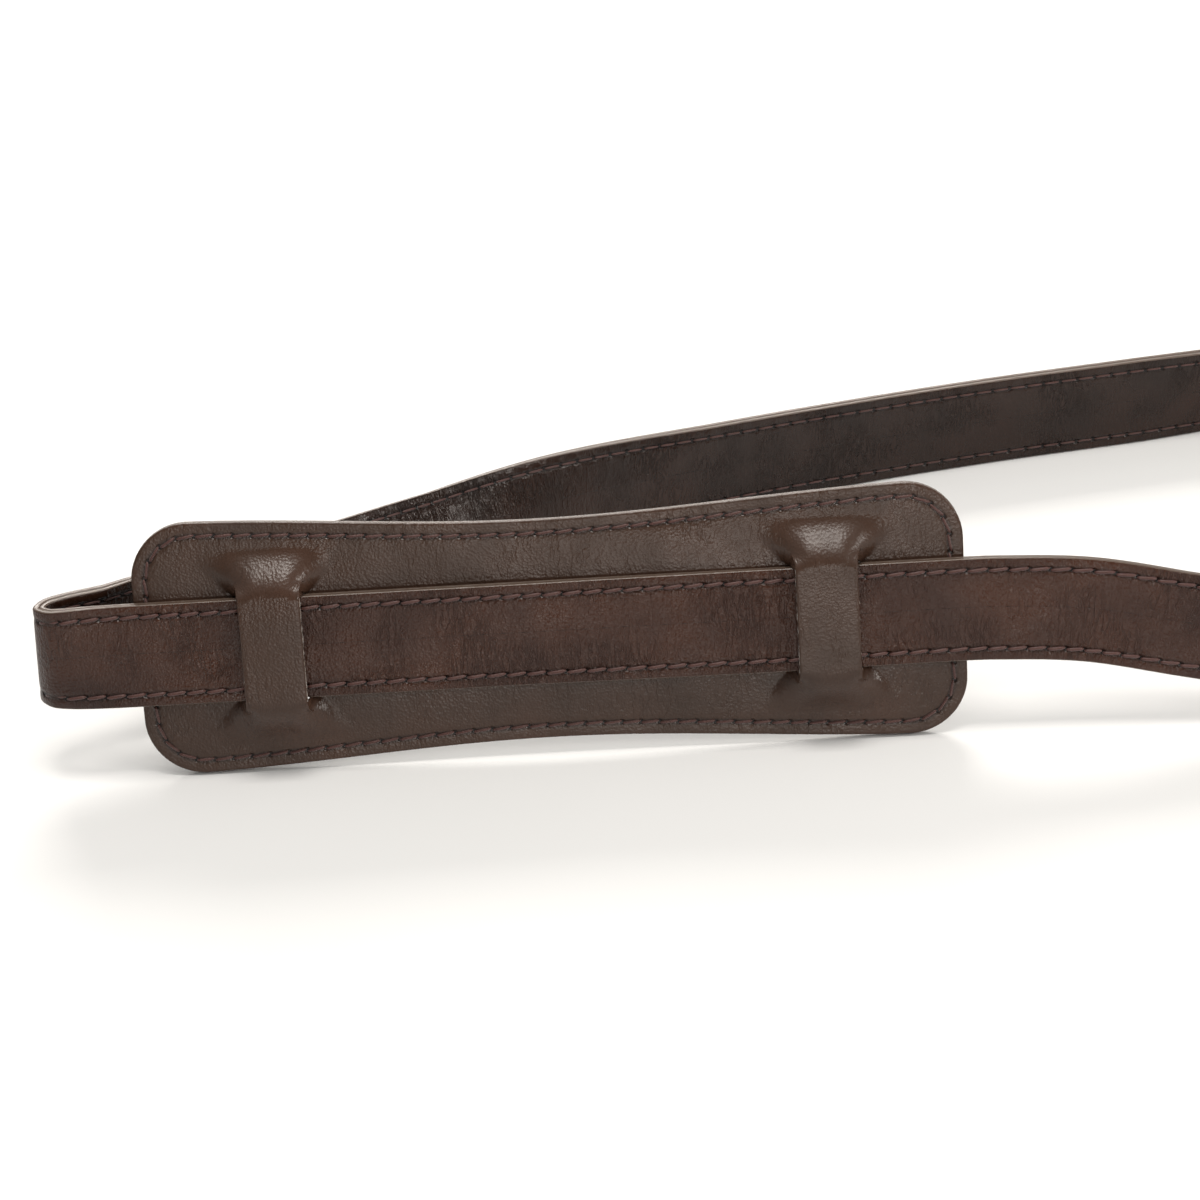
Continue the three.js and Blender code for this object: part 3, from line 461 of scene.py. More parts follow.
def painted_edge(name, colour, deep, roughness):
    """A cut leather edge, stained and rubbed: fibres run along it under a thin gloss."""
    material, tree = new_material(name)
    flat = add(tree, "ShaderNodeAttribute", attribute_name="flat").outputs["Vector"]
    fibres = add(tree, "ShaderNodeMapping", {"Scale": (1 / 2.0, 1 / 0.35, 1 / 0.35), "Vector": flat})
    streak = add(tree, "ShaderNodeTexNoise", {"Scale": 1.0, "Detail": 4, "Roughness": 0.6,
                 "Vector": fibres})
    tone = add(tree, "ShaderNodeMix", {"A": linear(deep), "B": linear(colour), "Factor": streak},
               data_type="RGBA")
    relief = add(tree, "ShaderNodeBump", {"Strength": 1.0, "Distance": 0.06 * MM, "Height": streak})
    shader = add(tree, "ShaderNodeBsdfPrincipled", {"Roughness": roughness, "IOR": 1.5,
                 "Base Color": tone, "Normal": relief})
    add(tree, "ShaderNodeOutputMaterial", {"Surface": shader})
    return material


# Drum-dyed cowhide with a waxed finish: dark red-brown, half gloss, fine grain.
strap_leather = hide("waxed_cowhide", "42271b", "2e1911", 0.31, 0.13, 0.2, (1.2, 6.0), -24)
# Glazed split lining: darker and glossier, finely wrinkled across.
lining_leather = hide("glazed_lining_hide", "2e1b12", "20120b", 0.25, 0.06, 0.2, (0.9, 5.0), 12)
strap_edge = painted_edge("stained_cut_edge", "64554a", "3d2f27", 0.32)

strap_route = Route(STRAP_ROUTE, STRAP_WIDTH, STRAP_THICK)
strap_rows = (-STRAP_ROW, STRAP_ROW)
face_section = ply_section(STRAP_MEETING, STRAP_THICK / 2, STRAP_WIDTH, STRAP_ROW)
lining_section = ply_section(STRAP_MEETING, -STRAP_THICK / 2, STRAP_WIDTH, STRAP_ROW)

strap_face = make_piece(ply(strap_route, face_section, strap_rows, face_seam_relief, LANE_ALONG),
                        "strap_face_hide", [strap_leather, strap_edge], "strap",
                        ["strap_face"])
strap_lining = make_piece(ply(strap_route, lining_section, strap_rows, lining_seam_relief, LANE_ALONG),
                          "strap_lining_hide", [lining_leather, strap_edge], "strap",
                          ["strap_lining"])

# --------------------------------------------------------- strap stitching
# A lockstitch in thick bonded nylon runs near each edge. On the face each
# stitch lies as a plump slanted cord between two holes; on the lining the
# thread is pulled in tighter.
THREAD_THICK = 0.85
LINING_THREAD_THICK = 0.6
STITCH_SLANT = math.radians(7)


def bonded_thread():
    """Bonded nylon thread: red-brown, satin, with the twist of its plies."""
    material, tree = new_material("bonded_nylon_thread")
    place = add(tree, "ShaderNodeTexCoord").outputs["Object"]
    twist = add(tree, "ShaderNodeTexNoise", {"Scale": 1 / (0.35 * MM), "Detail": 2, "Vector": place})
    tone = add(tree, "ShaderNodeMix", {"A": linear("260e0a"), "B": linear("55291f"), "Factor": twist},
               data_type="RGBA")
    relief = add(tree, "ShaderNodeBump", {"Strength": 0.8, "Distance": 0.1 * MM, "Height": twist})
    shader = add(tree, "ShaderNodeBsdfPrincipled", {"Roughness": 0.5, "Sheen Weight": 0.2, "IOR": 1.53,
                 "Base Color": tone, "Normal": relief})
    add(tree, "ShaderNodeOutputMaterial", {"Surface": shader})
    return material


# One stitch is a plump low-sided bead, drawn once and repeated.
bead = bmesh.new()
bmesh.ops.create_uvsphere(bead, u_segments=8, v_segments=8, radius=1)
bead_points = [v.co.copy() for v in bead.verts]
bead_faces = [[v.index for v in f.verts] for f in bead.faces]
bead.free()


def stitch(bm, start, end, up, thick, slant):
    """Stretches a bead from one needle hole to the next, its ends pulled in."""
    along = end - start
    length = along.length
    along.normalize()
    up = (up - along * up.dot(along)).normalized()
    along = Quaternion(up, slant) @ along
    side = up.cross(along)
    made = []
    for p in bead_points:
        plump = math.sqrt(max(1 - p.z ** 6, 0)) / math.sqrt(max(1 - p.z ** 2, 1e-6))
        dip = 0.55 * thick * p.z ** 4
        made.append(bm.verts.new((start + end) / 2 + along * (p.z * length * 0.5)
                                 + side * (p.x * plump * thick / 2)
                                 + up * (p.y * plump * thick / 2 - dip)))
    for face in bead_faces:
        bm.faces.new([made[i] for i in face])


def sewn_rows(route, rows, first, height, thick, slant):
    """Rows of stitches along a strip, from its first hole that is sewn, at a
    height above or below its middle."""
    bm = bmesh.new()
    for row in rows:
        for i in range(first, math.floor(route.length / STITCH_PITCH) - 1):
            start = route.point(i * STITCH_PITCH, row, height)
            end = route.point((i + 1) * STITCH_PITCH, row, height)
            up = route.at((i + 0.5) * STITCH_PITCH)[1] * math.copysign(1, height)
            stitch(bm, start, end, up, thick, slant)
    return bm


thread = bonded_thread()
make_piece(sewn_rows(strap_route, strap_rows, 1, STRAP_THICK / 2 + 0.02, THREAD_THICK, STITCH_SLANT),
           "strap_face_stitches", [thread], "strap",
           ["strap_thread_upper", "strap_thread_lower"])
make_piece(sewn_rows(strap_route, strap_rows, 1, 0.16 - STRAP_THICK / 2, LINING_THREAD_THICK, 0),
           "strap_lining_stitches", [thread], "strap")

# --------------------------------------------------------------------- pad
# The shoulder pad is two plies of smoother, greyer hide, glued and sewn
# round the rim, with rounded corners and a narrower waist. Two pairs of
# slits leave two bridges, which are stretched up over the strap, so the pad
# slides along it.
PAD_LENGTH = 197.0
PAD_END_WIDTH = 62.0
PAD_WAIST_WIDTH = 53.6
PAD_WAIST_REACH = 95.0
PAD_CORNER = 14.0
PAD_MIDDLE_X = 24.5 + PAD_LENGTH / 2
PAD_MEETING = -3.35             # glue line below the strap's middle
PAD_FACE_THICK = 1.35
PAD_LINING_THICK = 1.15
PAD_RIM_ROUND = 0.45
PAD_SEAM_INSET = 3.2
BRIDGE_RISE = 6.5
BRIDGE_HALF = 14.7 / 2
BRIDGE_MIDDLES = (-131.5 / 2, 131.5 / 2)
BRIDGE_FLAT = 13.4              # half the bridge's flat top
BRIDGE_FOOT = 24.0
SLIT_WIDTH = 0.5
SLIT_HALF = 12.7
FLARE_START = -4.0              # a bridge's flare, measured out from its edge
FLARE_END = 1.5
FLARE_WIDENS = 1.1              # for each mm beyond the slit
RIM_CURL = 0.9
LOWER_RIM_CURL = 0.5
TO_PAD = Matrix.Translation((PAD_MIDDLE_X, 0, RUN_CENTRE)) @ Matrix.Rotation(
    math.radians(90 - RUN_LEAN), 4, "X")


def pad_half_width(x):
    """Half the pad's width at x from its waist."""
    corner_x = PAD_LENGTH / 2 - PAD_CORNER
    reach = min(min(abs(x), corner_x) / PAD_WAIST_REACH, 1)
    flare = (1 - math.cos(math.pi * reach)) / 2
    half = (PAD_WAIST_WIDTH + (PAD_END_WIDTH - PAD_WAIST_WIDTH) * flare) / 2
    if abs(x) > corner_x:
        half += math.sqrt(max(PAD_CORNER ** 2 - (abs(x) - corner_x) ** 2, 0)) - PAD_CORNER
    return half


def rim_distance(x, y):
    """How far a point is inside the pad's outline."""
    corner_x = PAD_LENGTH / 2 - PAD_CORNER
    corner_y = pad_half_width(corner_x) - PAD_CORNER
    if abs(x) > corner_x and abs(y) > corner_y:
        return PAD_CORNER - math.hypot(abs(x) - corner_x, abs(y) - corner_y)
    return min(pad_half_width(min(abs(x), corner_x)) - abs(y), PAD_LENGTH / 2 - abs(x))


def slit_distance(x, y):
    """How far a point is outside the nearest slit."""
    gaps = []
    for middle in BRIDGE_MIDDLES:
        across = abs(abs(x - middle) - BRIDGE_HALF - SLIT_WIDTH / 2) - SLIT_WIDTH / 2
        gaps.append(math.hypot(max(across, 0), max(abs(y) - SLIT_HALF, 0)))
    return min(gaps)


def ease(value, low, high):
    """0 below low, 1 above high, smooth in between."""
    share = min(max((value - low) / (high - low), 0), 1)
    return share * share * (3 - 2 * share)


def pad_rise(x, y):
    """Height of the glue line above the flat pad: full on a bridge, and a
    bulge of drawn-up leather round the ends of the slits."""
    profile = 1 - ease(abs(y), BRIDGE_FLAT - 0.6, BRIDGE_FOOT)
    beyond = max(abs(y) - SLIT_HALF, 0)
    best = 0.0
    for middle in BRIDGE_MIDDLES:
        away_from = abs(x - middle) - BRIDGE_HALF
        # past the slits the strip flares out into the pad, wider and lower
        flare = 1 - ease(away_from, FLARE_START, FLARE_END + FLARE_WIDENS * beyond)
        if away_from <= 0:
            best = max(best, profile * (1 + (flare - 1) * ease(beyond, 0, 3.5)))
        else:
            best = max(best, profile * flare * ease(beyond, -0.5, 1.6))
    # the sewn rim curls back a little, most above and to the right of the waist
    curl = RIM_CURL * ease(y, 13, 29) * math.exp(-((x - 28) / 32) ** 2)
    curl += LOWER_RIM_CURL * ease(-y, 14, 30)
    return BRIDGE_RISE * best - curl


def pad_point(x, y, height):
    """A point at a height above the glue line, in the pad's own plane."""
    d = 0.05
    rise = pad_rise(x, y)
    slope_x = (pad_rise(x + d, y) - rise) / d if abs(pad_rise(x + d, y) - rise) < 0.5 else 0
    slope_y = (pad_rise(x, y + d) - pad_rise(x, y - d)) / (2 * d)
    normal = Vector((-slope_x, -slope_y, 1)).normalized()
    return Vector((x, y, PAD_MEETING + rise)) + normal * height


def outline_points(inset, step):
    """Even points round the pad's outline at an inset, from the middle of one end."""
    corner_x = PAD_LENGTH / 2 - PAD_CORNER
    corner_y = pad_half_width(corner_x) - PAD_CORNER
    radius = PAD_CORNER - inset
    quarter = [Vector((-PAD_LENGTH / 2 + inset, -corner_y * i / 40, 0)) for i in range(40)]
    for i in range(40):
        turn = math.radians(180 + 90 * i / 40)
        quarter.append(Vector((-corner_x + radius * math.cos(turn), -corner_y + radius * math.sin(turn), 0)))
    for i in range(200):
        x = -corner_x + corner_x * i / 200
        quarter.append(Vector((x, -pad_half_width(x) + inset, 0)))
    half = quarter + [Vector((0, -pad_half_width(0) + inset, 0))]
    half += [Vector((-p.x, p.y, 0)) for p in reversed(quarter)]
    ring = half[:-1] + [Vector((p.x, -p.y, 0)) for p in reversed(half[1:])]
    reached = [0.0]
    for a, b in zip(ring, ring[1:] + ring[:1]):
        reached.append(reached[-1] + (b - a).length)
    count = round(reached[-1] / step)
    points, i = [], 0
    for k in range(count):
        wanted = reached[-1] * k / count
        while reached[i + 1] < wanted:
            i += 1
        part = (wanted - reached[i]) / (reached[i + 1] - reached[i])
        points.append(ring[i].lerp(ring[(i + 1) % len(ring)], part))
    return points


pad_holes = outline_points(PAD_SEAM_INSET, STITCH_PITCH * 0.94)
seam_tree = KDTree(len(pad_holes) * 8)
seam_line = outline_points(PAD_SEAM_INSET, STITCH_PITCH * 0.94 / 8)
for index, point in enumerate(seam_line):
    seam_tree.insert(point, index)
seam_tree.balance()


def pad_phase(x, y):
    """(holes passed along the seam, distance outside it) for a point of the pad."""
    _, index, _ = seam_tree.find(Vector((x, y, 0)))
    here, following = seam_line[index], seam_line[(index + 1) % len(seam_line)]
    step = following - here
    part = (Vector((x, y, 0)) - here).dot(step) / step.length_squared
    return (index + part) * len(pad_holes) / len(seam_line), PAD_SEAM_INSET - rim_distance(x, y)


def pad_plate(thick, relief, cell):
    """One ply of the pad: a grid drawn in to the outline, with fine lanes along
    its rim and its slits, given a wall, then raised to its shape."""
    corner_y = pad_half_width(PAD_LENGTH / 2)
    zone_y = corner_y - 0.5
    zone = PAD_END_WIDTH / 2 - zone_y
    rim_lanes = [0, 0.08, 0.22, 0.45, 0.9]
    stops = {PAD_LENGTH / 2 - d for d in rim_lanes}
    for middle in BRIDGE_MIDDLES:
        for lip in (BRIDGE_HALF, BRIDGE_HALF + SLIT_WIDTH):
            inward = -1 if lip == BRIDGE_HALF else 1
            stops |= {abs(middle) + lip + inward * d for d in rim_lanes[:4]}
            stops |= {abs(middle) - lip - inward * d for d in rim_lanes[:4]}
    stops = sorted(stops)
    columns = lanes([-x for x in reversed(stops)] + stops, cell)
    across = sorted({SLIT_HALF, zone_y})
    inner = lanes([-y for y in reversed(across)] + across, cell)
    shares = [1 - d / zone for d in reversed(lanes(rim_lanes + [PAD_SEAM_INSET * 2, zone], cell))][1:]
    rows = [-1 - s for s in reversed(shares)] + inner + [1 + s for s in shares]
    kinds = [True] * len(shares) + [False] * len(inner) + [True] * len(shares)

    bm = bmesh.new()
    bmesh.ops.create_grid(bm, x_segments=len(columns) - 1, y_segments=len(rows) - 1, size=1)
    for v in bm.verts:
        x = columns[round((v.co.x + 1) / 2 * (len(columns) - 1))]
        j = round((v.co.y + 1) / 2 * (len(rows) - 1))
        y = rows[j]
        if kinds[j]:
            y = math.copysign(zone_y + (abs(y) - 1) * (pad_half_width(x) - zone_y), y)
        v.co = (x, y, 0)
    in_slit = [f for f in bm.faces if slit_distance(*f.calc_center_median().xy) == 0]
    bmesh.ops.delete(bm, geom=in_slit, context="FACES")
    bmesh.ops.solidify(bm, geom=bm.faces[:], thickness=1)

    flat = bm.verts.layers.float_vector.new("flat")
    seam = bm.verts.layers.float_vector.new("seam")
    middle_z = (max(v.co.z for v in bm.verts) + min(v.co.z for v in bm.verts)) / 2
    fray = random.Random(7)
    at_edge, at_slit = {}, {}
    for v in bm.verts:
        x, y, outer_side = v.co.x, v.co.y, v.co.z > middle_z
        phase, off = pad_phase(x, y)
        to_slit = slit_distance(x, y)
        gap = min(rim_distance(x, y), to_slit)
        at_edge[v], at_slit[v] = gap < 0.02, to_slit < 0.02
        height = 0.0
        if outer_side:
            short = max(PAD_RIM_ROUND - gap, 0)
            drop = PAD_RIM_ROUND - math.sqrt(max(PAD_RIM_ROUND ** 2 - short ** 2, 0))
            height = thick - math.copysign(relief(phase, off) + drop, thick)
        elif at_edge[v]:
            height = math.copysign(GLUE_NIP / 2, thick)
        v.co = pad_point(x, y, height)
        if to_slit < 0.3:
            v.co.x += fray.uniform(-0.1, 0.1)
        v[flat] = (x, y, height)
        v[seam] = (phase, off, 0)
    bmesh.ops.recalc_face_normals(bm, faces=bm.faces)
    for f in bm.faces:
        if all(at_edge[v] for v in f.verts):
            f.material_index = 2 if any(at_slit[v] for v in f.verts) else 1
    bmesh.ops.transform(bm, matrix=TO_PAD, verts=bm.verts)
    return bm


def raw_edge():
    """The slits' edges are cut and left bare: pale tan fibre, dull and fuzzy."""
    material, tree = new_material("raw_cut_fibre")
    flat = add(tree, "ShaderNodeAttribute", attribute_name="flat").outputs["Vector"]
    fuzz = add(tree, "ShaderNodeTexNoise", {"Scale": 1 / 0.5, "Detail": 4, "Roughness": 0.7,
               "Vector": flat})
    patch = add(tree, "ShaderNodeMapRange", {"From Min": 0.35, "From Max": 0.65, "Value": fuzz})
    tone = add(tree, "ShaderNodeMix", {"A": linear("4a3a31"), "B": linear("8d7763"), "Factor": patch},
               data_type="RGBA")
    relief = add(tree, "ShaderNodeBump", {"Strength": 1.0, "Distance": 0.15 * MM, "Height": fuzz})
    shader = add(tree, "ShaderNodeBsdfPrincipled", {"Roughness": 0.9, "Sheen Weight": 0.3,
                 "Base Color": tone, "Normal": relief})
    add(tree, "ShaderNodeOutputMaterial", {"Surface": shader})
    return material


# Corrected-grain cowhide: smoother and greyer than the strap, with a soft sheen.
pad_leather = hide("corrected_grain_cowhide", "453127", "37271e", 0.31, 0.06, 0.05, (2.5, 8.0), 14)
pad_raw_edge = raw_edge()
pad_face = make_piece(pad_plate(PAD_FACE_THICK, face_seam_relief, 0.8), "pad_face_hide",
                      [pad_leather, strap_edge, pad_raw_edge], "pad", ["pad_face"])
pad_lining = make_piece(pad_plate(-PAD_LINING_THICK, lining_seam_relief, 0.9), "pad_lining_hide",
                        [lining_leather, strap_edge, pad_raw_edge], "pad",
                        ["pad_lining"])


def pad_stitches(height, thick, slant):
    """The row of stitches round the pad's rim."""
    bm = bmesh.new()
    for here, following in zip(pad_holes, pad_holes[1:] + pad_holes[:1]):
        start = pad_point(here.x, here.y, height)
        end = pad_point(following.x, following.y, height)
        stitch(bm, start, end, Vector((0, 0, math.copysign(1, height))), thick, slant)
    bmesh.ops.transform(bm, matrix=TO_PAD, verts=bm.verts)
    return bm


make_piece(pad_stitches(PAD_FACE_THICK - 0.02, THREAD_THICK * 0.85, STITCH_SLANT), "pad_face_stitches",
           [thread], "pad", ["pad_thread"])
make_piece(pad_stitches(-PAD_LINING_THICK + 0.16, LINING_THREAD_THICK, 0), "pad_lining_stitches",
           [thread], "pad")

# ---------------------------------------------------------------- end tabs
# A thick tab of the same hide at each end has a round hole with a slit that
# buttons over a strap button. The strap's end lies on it, under two rivets.
TAB_THICK = 3.0
TAB_HOLE_AT = 64.0
TAB_HEAD = 16.5
TAB_NECK_HALF = 13.5
TAB_CORNER = 4.0
TAB_OVERLAP = 37.0
BUTTON_HOLE = 4.6
BUTTON_SLIT = 9.0
BUTTON_SLIT_HALF = 0.8
FRONT_TAB = (425.0, 3.0)
REAR_TAB = (548.0, 146.0)


def arc(x, y, radius, start, end, steps):
    """Points on an arc, angles in degrees."""
    turns = [math.radians(start + (end - start) * i / steps) for i in range(steps + 1)]
    return [(x + radius * math.cos(t), y + radius * math.sin(t)) for t in turns]


def cut_plate(loops, thick, rounding, seam_rows=(), bends=()):
    """A plate of that thickness cut to closed outlines, its cut edges rubbed
    round. bends are the lines across it where it will be bent."""
    bm = bmesh.new()
    edges = []
    for points in loops:
        verts = [bm.verts.new((x, y, 0)) for x, y in points]
        edges += [bm.edges.new(pair) for pair in zip(verts, verts[1:] + verts[:1])]
    bmesh.ops.triangle_fill(bm, use_beauty=True, use_dissolve=False, edges=edges, normal=(0, 0, 1))
    for x in bends:
        bmesh.ops.bisect_plane(bm, geom=bm.verts[:] + bm.edges[:] + bm.faces[:], dist=1e-3,
                               plane_co=(x, 0, 0), plane_no=(1, 0, 0))
    for y in seam_rows:
        bmesh.ops.bisect_plane(bm, geom=bm.verts[:] + bm.edges[:] + bm.faces[:], dist=1e-3,
                               plane_co=(0, y, 0), plane_no=(0, 1, 0))
    bmesh.ops.solidify(bm, geom=bm.faces[:], thickness=thick)
    bmesh.ops.translate(bm, vec=(0, 0, -min(v.co.z for v in bm.verts)), verts=bm.verts)
    bmesh.ops.recalc_face_normals(bm, faces=bm.faces)
    rims = [e for e in bm.edges
            if abs(e.verts[0].co.z - e.verts[1].co.z) < 1e-4 and e.calc_face_angle(0) > math.radians(60)]
    bmesh.ops.bevel(bm, geom=rims, offset=rounding, offset_type="OFFSET", segments=3, profile=0.5,
                    affect="EDGES", clamp_overlap=True, material=-1)
    return bm


def keep_flat(bm):
    """Notes each vertex's flat place, far from any seam, and marks the cut walls."""
    flat = bm.verts.layers.float_vector.new("flat")
    seam = bm.verts.layers.float_vector.new("seam")
    for v in bm.verts:
        v[flat] = v.co
        v[seam] = (0.5, 99, 0)
    bm.normal_update()
    for f in bm.faces:
        f.material_index = int(abs(f.normal.z) < 0.4)
    return flat, seam


def tab_loops():
    """The tab's outline and its button hole, inner end at x = 0."""
    start = 110
    head_x = TAB_HOLE_AT + TAB_HEAD * math.cos(math.radians(start))
    head_y = TAB_HEAD * math.sin(math.radians(start))
    shoulder = []
    for i in range(9):
        t = i / 9
        a, b, c = (1 - t) ** 2, 2 * t * (1 - t), t * t
        shoulder.append((a * (TAB_OVERLAP + 4) + b * (head_x - 9) + c * head_x,
                         -(a + b) * TAB_NECK_HALF - c * head_y))
    corner = arc(TAB_CORNER, TAB_CORNER - TAB_NECK_HALF, TAB_CORNER, 180, 270, 6)
    lower = corner + shoulder
    outline = lower + arc(TAB_HOLE_AT, 0, TAB_HEAD, -start, start, 40)
    outline += [(x, -y) for x, y in reversed(lower)]
    mouth = math.degrees(math.asin(BUTTON_SLIT_HALF / BUTTON_HOLE))
    slit_end = TAB_HOLE_AT - BUTTON_HOLE - BUTTON_SLIT
    hole = arc(TAB_HOLE_AT, 0, BUTTON_HOLE, mouth - 180, 180 - mouth, 28)
    hole += [(slit_end, BUTTON_SLIT_HALF), (slit_end, -BUTTON_SLIT_HALF)]
    return [outline, hole]


def end_tab(name, place):
    """A tab with its inner end at a place, flat on the table."""
    bm = cut_plate(tab_loops(), TAB_THICK, 0.6)
    keep_flat(bm)
    bmesh.ops.translate(bm, vec=(*place, 0), verts=bm.verts)
    return make_piece(bm, name + "_hide", [strap_leather, strap_edge], "strap", [name])


end_tab("front_end_tab", FRONT_TAB)
end_tab("rear_end_tab", REAR_TAB)

# --------------------------------------------------------------- cap rivets
# Double-cap brass rivets, pressed from sheet and set through tab and strap;
# the caps are domed, and tarnished round the rim.
RIVETS_AT = (11.0, 25.0)
RIVET_POST = 1.6
RIVET_CAP = 4.0
RIVET_CAP_RIM = 0.45
RIVET_CAP_DOME = 0.85
TAB_TOP = TAB_THICK + 0.3
BILLET_THICK = 2.2


def cast_brass():
    """Brass with an aged finish: warm metal, brown in its dull patches, with fine rubbing scratches."""
    material, tree = new_material("aged_brass")
    place = add(tree, "ShaderNodeTexCoord").outputs["Object"]
    patch = add(tree, "ShaderNodeTexNoise", {"Scale": 1 / (3 * MM), "Detail": 4, "Vector": place})
    scored = add(tree, "ShaderNodeMapping", {"Scale": (1 / (5 * MM), 1 / (0.12 * MM), 1 / (0.5 * MM)),
                 "Vector": place})
    scratch = add(tree, "ShaderNodeTexNoise", {"Scale": 1, "Detail": 3, "Vector": scored})
    tone = add(tree, "ShaderNodeMix", {"A": linear("8a6838"), "B": linear("c8a568"), "Factor": patch},
               data_type="RGBA")
    dull = add(tree, "ShaderNodeMapRange", {"From Min": 0.3, "From Max": 0.7, "To Min": 0.38,
               "To Max": 0.22, "Value": patch})
    relief = add(tree, "ShaderNodeBump", {"Strength": 0.6, "Distance": 0.02 * MM, "Height": scratch})
    shader = add(tree, "ShaderNodeBsdfPrincipled", {"Metallic": 1.0, "Base Color": tone,
                 "Roughness": dull, "Normal": relief})
    add(tree, "ShaderNodeOutputMaterial", {"Surface": shader})
    return material


def spun(profile, segments=32):
    """A turned shape: a profile of (radius, height) spun once round the Z axis."""
    bm = bmesh.new()
    verts = [bm.verts.new((radius, 0, height)) for radius, height in profile]
    edges = [bm.edges.new(pair) for pair in zip(verts, verts[1:])]
    bmesh.ops.spin(bm, geom=verts + edges, cent=(0, 0, 0), axis=(0, 0, 1), dvec=(0, 0, 0),
                   angle=math.tau, steps=segments, use_merge=True, use_duplicate=False)
    bmesh.ops.remove_doubles(bm, verts=bm.verts, dist=1e-4)
    bmesh.ops.recalc_face_normals(bm, faces=bm.faces)
    return bm


def rivet(name, tab, at, leather_thick):
    seat = TAB_TOP + leather_thick + 0.05
    dome = [(RIVET_CAP * math.cos(math.radians(a)),
             seat + RIVET_CAP_RIM + RIVET_CAP_DOME * math.sin(math.radians(a)))
            for a in (0, 15, 30, 45, 60, 75)]
    under = [(0, 0.3), (RIVET_POST * 0.8, 0.3), (RIVET_POST, 0.5), (RIVET_POST, seat)]
    rim = [(RIVET_CAP - 0.15, seat), (RIVET_CAP, seat + 0.15)]
    bm = spun(under + rim + dome + [(0, seat + RIVET_CAP_RIM + RIVET_CAP_DOME)])
    bmesh.ops.translate(bm, vec=(tab[0] + at, tab[1], 0), verts=bm.verts)
    return make_piece(bm, name + "_cap", [brass], "strap", [name])


brass = cast_brass()
for number, at in enumerate(RIVETS_AT, 1):
    rivet(f"front_tab_rivet_{number}", FRONT_TAB, at, STRAP_THICK)
    rivet(f"rear_tab_rivet_{number}", REAR_TAB, at, BILLET_THICK)

# ------------------------------------------------------------------ billet
# The billet is a narrower strap of two thin plies sewn together, punched
# with a row of holes; one, drawn long, holds the buckle's tongue.
BUCKLE = (468.0, 146.0)
BUCKLE_LIFT = 1.7
BILLET_WIDTH = 21.0
BILLET_ROW = BILLET_WIDTH / 2 - 2.4
BILLET_HOLE = 1.8
BILLET_HOLE_STEP = 20.0
USED_HOLE = (0.9, 11.2)
USED_HOLE_HALF = 2.2
BILLET_OVER = 6.6
BILLET_ON_STRAP = 4.95
BILLET_START = -76.0
BILLET_ROUTE = [(BUCKLE[0] + x, BUCKLE[1], lift, 90) for x, lift in (
    (BILLET_START, BILLET_ON_STRAP), (-55, BILLET_ON_STRAP), (-50, 5.05), (-37, 6.5), (-30, BILLET_OVER),
    (-1, BILLET_OVER), (3, 6.1), (10, 3.1), (14, 1.6), (19, 0.6), (25, 0.3), (60, 0.3), (71, 1.3),
    (78, 3.3), (86, 3.3), (117, 3.3))]
billet_route = Route(BILLET_ROUTE, BILLET_WIDTH, BILLET_THICK)


def along_billet(x):
    """How far along the billet a place over the buckle is."""
    low, high = 0.0, billet_route.length
    while high - low > 0.01:
        middle = (low + high) / 2
        if billet_route.at(middle)[0].x < BUCKLE[0] + x:
            low = middle
        else:
            high = middle
    return low


def billet_loops():
    """The billet's outline, with a pointed end, and its punched holes."""
    half = BILLET_WIDTH / 2
    end = billet_route.length
    outline = [(1.0, 2.5)] + arc(1.0, 0, 2.5, 110, 250, 6)[1:-1] + [(1.0, -2.5), (9.0, -half), (end, -half),
                                                                 (end, half), (9.0, half)]
    middle = sum(USED_HOLE) / 2
    loops = [outline]
    for n in (-3, -2, -1, 1, 2):
        loops.append(arc(along_billet(middle + n * BILLET_HOLE_STEP), 0, BILLET_HOLE, 0, 345, 23))
    first, last = along_billet(USED_HOLE[0]), along_billet(USED_HOLE[1])
    r = USED_HOLE_HALF
    loops.append(arc(last - r, 0, r, -90, 90, 12) + arc(first + r, 0, r, 90, 270, 12))
    return loops


def billet_ply(low, high):
    """One ply, cut and punched flat, then laid along its route."""
    bends = lanes([0, billet_route.length], 1.6)[1:-1]
    bm = cut_plate(billet_loops(), high - low, 0.3, (-BILLET_ROW, 0.001, BILLET_ROW), bends)
    flat, seam = keep_flat(bm)
    for v in bm.verts:
        along, across, height = v.co
        row = math.copysign(BILLET_ROW, across)
        v[seam] = (along / STITCH_PITCH, across - row, 0)
        v.co = billet_route.point(min(max(along, 0), billet_route.length - 1e-3), across, low + height)
    bmesh.ops.recalc_face_normals(bm, faces=bm.faces)
    return bm


half_billet = BILLET_THICK / 2
billet_face = make_piece(billet_ply(0, half_billet), "billet_face_hide", [strap_leather, strap_edge],
                         "strap", ["billet_face"])
billet_lining = make_piece(billet_ply(-half_billet, 0), "billet_lining_hide", [lining_leather, strap_edge],
                           "strap", ["billet_lining"])

FIRST_HOLE = 3                  # of each of the billet's two rows
BILLET_THREAD_THICK = 0.65
BILLET_LINING_THREAD = 0.5
billet_rows = (-BILLET_ROW, BILLET_ROW)
make_piece(sewn_rows(billet_route, billet_rows, FIRST_HOLE, half_billet - 0.05, BILLET_THREAD_THICK, 0),
           "billet_face_stitches", [thread], "strap",
           ["billet_thread_upper", "billet_thread_lower"])
make_piece(sewn_rows(billet_route, billet_rows, FIRST_HOLE, 0.05 - half_billet, BILLET_LINING_THREAD, 0),
           "billet_lining_stitches", [thread], "strap")

